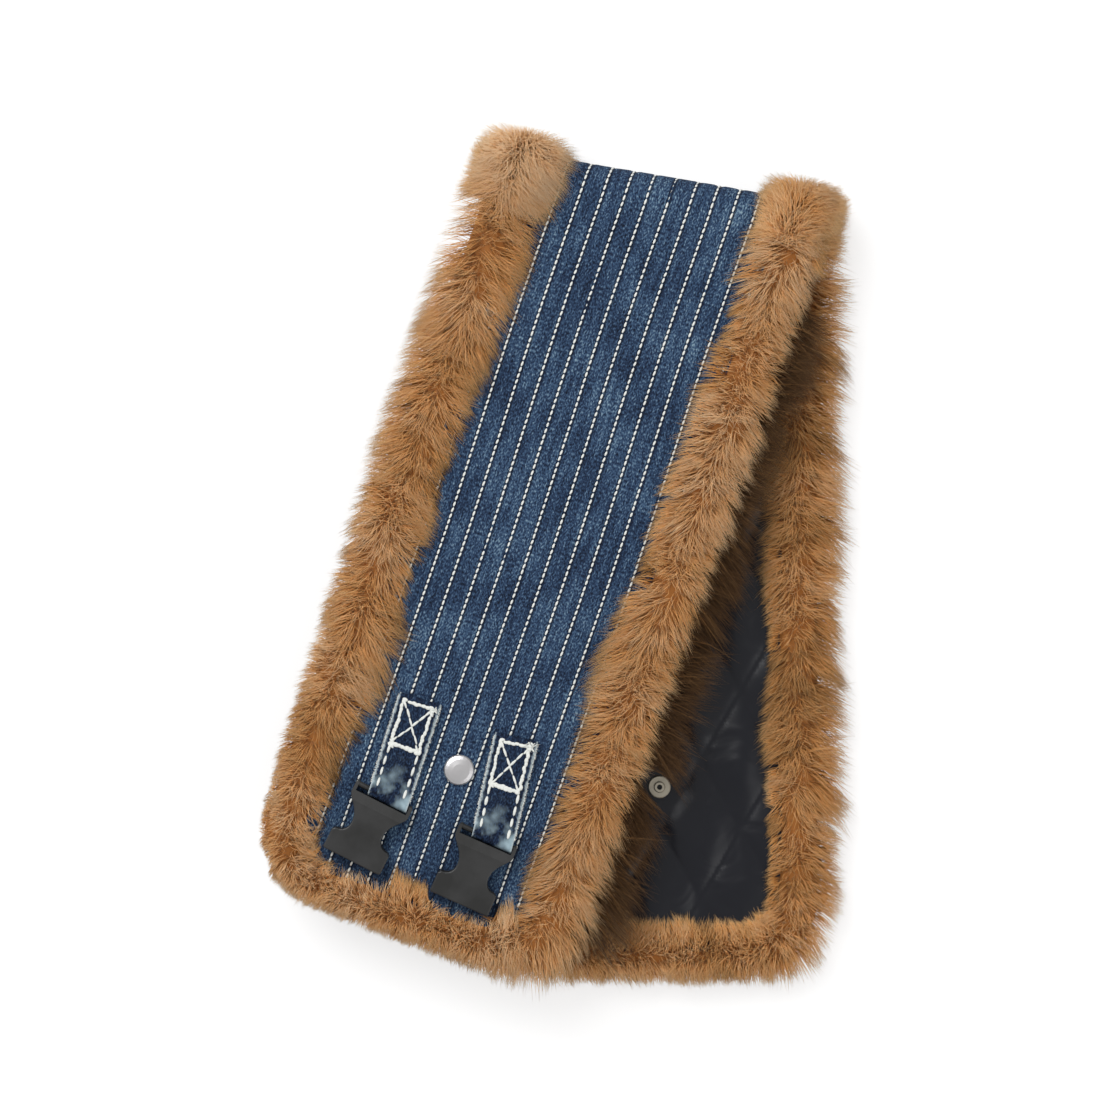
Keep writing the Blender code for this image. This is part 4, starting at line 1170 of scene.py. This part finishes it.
# %% Where the straps lie
END_BAND, BAR_BAND = 1 * MM, 2 * MM


def strap_of(half, word, joint_name):
    """Where a strap lies, from its solid and its buckle's hinge: axes, side profile and lean."""
    joint = next(joint for joint in frame["joints"] if joint["name"] == joint_name)
    up = np.array((0.0, 0.0, 1.0 if half == "front" else -1.0))
    axis = np.array(joint["axis"])
    axes = np.stack([axis, np.cross(up, axis), up])
    pivot = np.array(joint["pos_m"])
    solid = np.array([vertex.co for vertex in frame["nodes"][f"{half}_strap_{word}"].data.vertices])
    solid = (solid - pivot) @ axes.T
    run = -solid[:, 1].min()
    sewn_end = solid[solid[:, 1] < END_BAND - run, 0]
    return {
        "axes": axes, "pivot": pivot, "run": run, "width": np.ptp(sewn_end), "low": solid[:, 2].min(),
        "top_x": sewn_end.mean(), "bar_x": solid[np.abs(solid[:, 1]) < BAR_BAND, 0].mean(),
    }


hangers = {"front": "socket", "rear": "plug"}
straps = {
    (half, word): strap_of(half, word, f"{kind}_{word}_swing")
    for half, kind in hangers.items() for word in ("left", "right")
}
print("strap widths in mm:", [round(strap["width"] / MM, 1) for strap in straps.values()])

# %% [markdown]
# A point of a strap is given by how far across it lies and how far along the loop, counted from the far
# side of the bar over the upper ply and back below. The loop's side line is a turn round the bar, two
# plies that close on each other and a tight turn at the sewn end.

# %% The side line of a loop
STRAP_PLY = 1.4 * MM
BAR_RADIUS = 1.6 * MM
WRAP_ANGLE = math.radians(100)
WRAP_POINTS, TUCK_POINTS = 8, 7
UPPER_CLOSE = 14 * MM
LOWER_CLOSE = 7 * MM
SEEK = 0.3 * MM


def strap_profile(strap):
    """The closed side line of the loop, from the far side of the bar over the upper ply and back below."""
    wrap = BAR_RADIUS + CLEARANCE + STRAP_PLY / 2
    turn = np.linspace(0.0, WRAP_ANGLE, WRAP_POINTS)
    over = np.stack([wrap * np.cos(turn), wrap * np.sin(turn)], 1)
    upper, lower = strap["low"] + 1.5 * STRAP_PLY, strap["low"] + 0.5 * STRAP_PLY
    tuck = np.linspace(math.pi / 2, 3 * math.pi / 2, TUCK_POINTS)
    tuck_y = STRAP_PLY / 2 - strap["run"] + STRAP_PLY / 2 * np.cos(tuck)
    tuck_z = strap["low"] + STRAP_PLY + STRAP_PLY / 2 * np.sin(tuck)
    back = np.stack([tuck_y, tuck_z], 1)
    under = over[::-1] * (1, -1)
    line = np.concatenate([over, [(-UPPER_CLOSE, upper)], back, [(-LOWER_CLOSE, lower)], under])
    steps = np.linalg.norm(np.diff(line, axis=0), axis=1)
    return np.concatenate([[0.0], np.cumsum(steps)]), line


def on_strap(strap, w, s, off):
    """World points on a strap: w across, s along its loop from the bar, `off` out from its middle."""
    at, line = strap_profile(strap)
    before, here, after = (
        np.stack([np.interp(s + step, at, line[:, k], period=at[-1]) for k in (0, 1)], -1)
        for step in (-SEEK, 0, SEEK)
    )
    y, z = here[..., 0], here[..., 1]
    ahead = unit(after - before)
    slope = (strap["top_x"] - strap["bar_x"]) / strap["run"]
    x = strap["bar_x"] - slope * y + w
    square = w * slope * np.clip(-y / strap["run"], 0.0, 1.0)
    local = np.stack([x, y + square + off * ahead[..., 1], z - off * ahead[..., 0]], -1)
    return strap["pivot"] + local @ strap["axes"]


for strap in straps.values():
    strap["loop"] = strap_profile(strap)[0][-1]
print("loops in mm:", [round(strap["loop"] / MM, 1) for strap in straps.values()])

# %% [markdown]
# The straps' indigo is deeper than the band's. It is bleached in blots where the loop rubs on the bar,
# and the raw edges show pale yarn, with some noise so that the pale line is ragged.

# %% Strap finish
STRAP_DYE = ((0.3, "#0c111c"), (0.5, "#182338"), (0.66, "#2b3d58"), (0.9, "#5d7689"))
BLEACH_FULL, BLEACH_END = 8 * MM, 30 * MM
BLOT_SCALE, BLOT_LOW, BLOT_HIGH = 85.0, 0.44, 0.72
RAG_SCALE, RAG_WIDTH = 700.0, 2.4 * MM
RAW_START, RAW_FULL, RAW_SHARE = 11.7 * MM, 12.8 * MM, 0.85

dyed, tree, shader, chart, dye = indigo("dark_indigo_strap", STRAP_DYE)
place = node(tree, "ShaderNodeSeparateXYZ", {0: chart}).outputs
near_bar = remap(tree, place["Y"], BLEACH_FULL, BLEACH_END, 1.0, 0.0)
blot = remap(tree, noise(tree, chart, BLOT_SCALE, detail=2.0), BLOT_LOW, BLOT_HIGH)
paled = mix(tree, reckon(tree, "MULTIPLY", near_bar, blot), dye, colour("#a9c0c9"))
aside = reckon(tree, "ABSOLUTE", place["X"])
ragged = reckon(tree, "MULTIPLY_ADD", noise(tree, chart, RAG_SCALE, detail=2.0), RAG_WIDTH, aside)
raw = remap(tree, ragged, RAW_START, RAW_FULL, 0.0, RAW_SHARE)
tree.links.new(mix(tree, raw, paled, colour("#c3d0d4")), shader.inputs["Base Color"])
print("finish:", dyed.name)

# %% [markdown]
# Each loop is a flat grid laid round its side line. The two ends meet beyond the bar and are joined there,
# and the cloth gets its thickness inwards, a little less than the ply so that the two plies don't touch.

# %% Loop straps
STRAP_COLUMNS, STRAP_ROWS = 24, 170
WELD = 0.01 * MM
PLY_GAP = 0.15 * MM

for (half, word), strap in straps.items():
    name = f"{half}_strap_{word}"
    ribbon, across, along = cloth_grid(name + "_loop", STRAP_COLUMNS, STRAP_ROWS)
    w, s = (across - 0.5) * strap["width"], along * strap["loop"]
    from_bar = np.minimum(s, strap["loop"] - s)
    lay(ribbon, on_strap(strap, w, s, STRAP_PLY / 2), np.column_stack([w, from_bar]))
    bpy.ops.object.mode_set(mode="EDIT")
    bpy.ops.mesh.select_all(action="SELECT")
    bpy.ops.mesh.remove_doubles(threshold=WELD)
    bpy.ops.mesh.normals_make_consistent(inside=False)
    bpy.ops.object.mode_set(mode="OBJECT")
    thicken(ribbon, STRAP_PLY - PLY_GAP)
    ribbon.data.materials.append(dyed)
    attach(ribbon, half + "_half")
    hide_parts(name)
    print(ribbon.name, len(ribbon.data.polygons), "faces")

# %% [markdown]
# The straps are sewn by a bar of heavy thread: a box with a cross in it, knotted where the machine turned,
# and a row down each side. Heavy thread sits proud of the cloth, its stitches overlap in the box and the
# cross, and none lies quite straight. A row is given by its step and its stitches' length, width and stray.

# %% Boxed cross and edge rows
ROW_OUT = 8.2 * MM
ROW_START = 7 * MM
BOX_DROP = 3.0 * MM
BOX_LENGTH = 25 * MM
FOOT_AGAIN = 0.6 * MM
KNOT_REACH = 1 * MM
SIDE_ROW = (6.4 * MM, 5.6 * MM, 1.9 * MM, 0.15 * MM)
BOX_ROW = (2.0 * MM, 3.2 * MM, 2.3 * MM, 0.3 * MM)
CROSS_ROW = (5.0 * MM, 5.6 * MM, 1.5 * MM, 0.2 * MM)
KNOT_ROW = (0.6 * MM, 2.6 * MM, 1.3 * MM, 0.9 * MM)
WIDTH_SPREAD = (0.85, 1.15)
TURN_SHARE = 0.5


def thread_line(rng, start, stop, step, length, width, stray):
    """Ends and widths of stitches along a line on a strap, from (w, s) to (w, s)."""
    start, stop = np.array(start), np.array(stop)
    span = np.linalg.norm(stop - start)
    count = max(1, round(span / step))
    along = (stop - start) / span
    middle = start + np.outer((np.arange(count) + 0.5) * span / count, along)
    middle = middle + rng.normal(0.0, stray, (count, 2))
    turn = rng.normal(0.0, TURN_SHARE * stray / length, count)[:, None]
    half = (along + turn * np.array((-along[1], along[0]))) * length / 2
    return np.stack([middle - half, middle + half]), width * rng.uniform(*WIDTH_SPREAD, count)


def boxed_cross(rng, top):
    """Ends and widths of all the stitches on a strap; the last corner is knotted twice."""
    foot, left, right = top - BOX_LENGTH, ROW_OUT, -ROW_OUT
    lines = [((w, ROW_START), (w, foot), SIDE_ROW) for w in (left, right)]
    lines += [((w, foot), (w, top), BOX_ROW) for w in (left, right)]
    lines += [((left, s), (right, s), BOX_ROW) for s in (top, foot, foot + FOOT_AGAIN)]
    lines += [((w, foot), (-w, top), CROSS_ROW) for w in (left, right)]
    for w, s in ((left, foot), (right, top), (right, top)):
        lines.append(((w - KNOT_REACH, s - KNOT_REACH), (w + KNOT_REACH, s + KNOT_REACH), KNOT_ROW))
    ends, width = zip(*(thread_line(rng, start, stop, *row) for start, stop, row in lines))
    return np.concatenate(ends, 1), np.concatenate(width)


print("box in mm:", [round(span / MM, 1) for span in (2 * ROW_OUT, BOX_LENGTH)])

# %% [markdown]
# Raw denim frays: short weft yarns stand out from both edges of a strap, and a few thread tails hang from
# the corner where the sewing ended. Both are the modelled fibre again, in white cotton.

# %% Frayed edges and tails
FRAY_COUNT, FRAY_RADIUS, FRAY_START = 520, 0.17 * MM, 8 * MM
FRAY_LENGTHS, FRAY_SLIP, FRAY_DROP = (0.3, 1.5), 0.8 * MM, 0.5 * MM
TAIL_COUNT, TAIL_RADIUS, TAIL_LIFT = 7, 0.4 * MM, 0.6
TAIL_ACROSS, TAIL_ALONG = 1.0 * MM, 0.8 * MM
TAIL_STRAY, TAIL_CLIMB = (-2.5 * MM, 1.5 * MM), (0.0, 2.5 * MM)
LOOSE_TONE = 0.5
STITCH_PROUD = (0.1, 0.35)
HEAVY_RISE = 1.2 * MM
STRAP_SEED = 70


def loose_yarns(lines, radius):
    """A mesh part of fibres along world lines, all of one radius."""
    count = lines[0].shape[0]
    return grow(np.stack(lines), np.full(count, LOOSE_TONE), np.full(count, radius))


def fray(rng, strap):
    """Weft yarns that stand out from both edges of a strap."""
    edge = np.where(rng.uniform(size=FRAY_COUNT) < 0.5, -0.5, 0.5) * strap["width"]
    place = rng.uniform(FRAY_START, strap["loop"] / 2 - MM, FRAY_COUNT)
    out = np.sign(edge) * rng.uniform(*FRAY_LENGTHS, FRAY_COUNT) * MM
    slip = rng.normal(0.0, FRAY_SLIP, FRAY_COUNT)
    height = STRAP_PLY / 2
    lines = [on_strap(strap, edge + t * out, place + t * slip, height - FRAY_DROP * t) for t in LEVELS]
    return loose_yarns(lines, FRAY_RADIUS)


def tails(rng, strap, top):
    """Thread ends that hang from the corner where the sewing ended."""
    w, s = rng.normal(0.0, TAIL_ACROSS, TAIL_COUNT) - ROW_OUT, top + rng.normal(0.0, TAIL_ALONG, TAIL_COUNT)
    stray, climb = rng.normal(*TAIL_STRAY, TAIL_COUNT), rng.normal(*TAIL_CLIMB, TAIL_COUNT)
    height = STRAP_PLY / 2
    lines = [on_strap(strap, w + t * stray, s - t * climb, height + (TAIL_LIFT + t) * MM) for t in LEVELS]
    return loose_yarns(lines, TAIL_RADIUS)


for seed, ((half, word), strap) in enumerate(straps.items()):
    rng = np.random.default_rng(STRAP_SEED + seed)
    top = strap["loop"] / 2 - BOX_DROP
    ends, width = boxed_cross(rng, top)
    proud = STRAP_PLY / 2 + rng.uniform(*STITCH_PROUD, ends.shape[1]) * MM
    middle = ends.mean(0).T
    lift = unit(on_strap(strap, *middle, proud + MM) - on_strap(strap, *middle, proud))
    sewn = sew(on_strap(strap, ends[..., 0], ends[..., 1], proud), lift, width, HEAVY_RISE)
    parts = [sewn, fray(rng, strap), tails(rng, strap, top)]
    piece = mesh_piece(f"{half}_strap_{word}_stitching", parts, cotton)
    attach(piece, half + "_half")
    print(piece.name, len(piece.data.polygons), "triangles")

# %% [markdown]
# The hard pieces keep the measured solids and only get their finishes: black acetal with the fine grain of
# a moulding tool, pale nickel on the cap and worn nickel on the stud.

# %% Buckle and snap finishes
GRAIN_SCALE, GRAIN_BUMP, GRAIN_DEPTH = 1400.0, 0.25, 0.15 * MM
RUB_SCALE = 60.0
RUBBED = ((0.35, "#1d1d1c"), (0.65, "#2e2e2e"))

acetal, tree, shader = finish_of("black_acetal", "#232322", roughness=0.42, specular=0.5)
where = node(tree, "ShaderNodeTexCoord").outputs["Object"]
bump(tree, shader, noise(tree, where, GRAIN_SCALE, detail=2.0), GRAIN_BUMP, GRAIN_DEPTH)
tint = ramped(tree, noise(tree, where, RUB_SCALE, detail=3.0), RUBBED)
tree.links.new(tint, shader.inputs["Base Color"])
nickel = finish_of("pale_nickel", "#d9d7d8", roughness=0.33, metallic=1.0)[0]
antique = finish_of("antique_nickel", "#bdb5a4", roughness=0.34, metallic=1.0)[0]
for name in hard_names:
    metal = nickel if name == "snap_cap" else antique
    frame["nodes"][name].material_slots[0].material = metal if name.startswith("snap") else acetal
print("hard pieces:", len(hard_names))

# %% [markdown]
# The box of the finished muff is printed, as the measured model's box was at the start, so that the two
# can be compared.

# %% Size
low_corner, high_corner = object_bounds()
print("visual box in mm:", [round(span / MM, 1) for span in high_corner - low_corner])
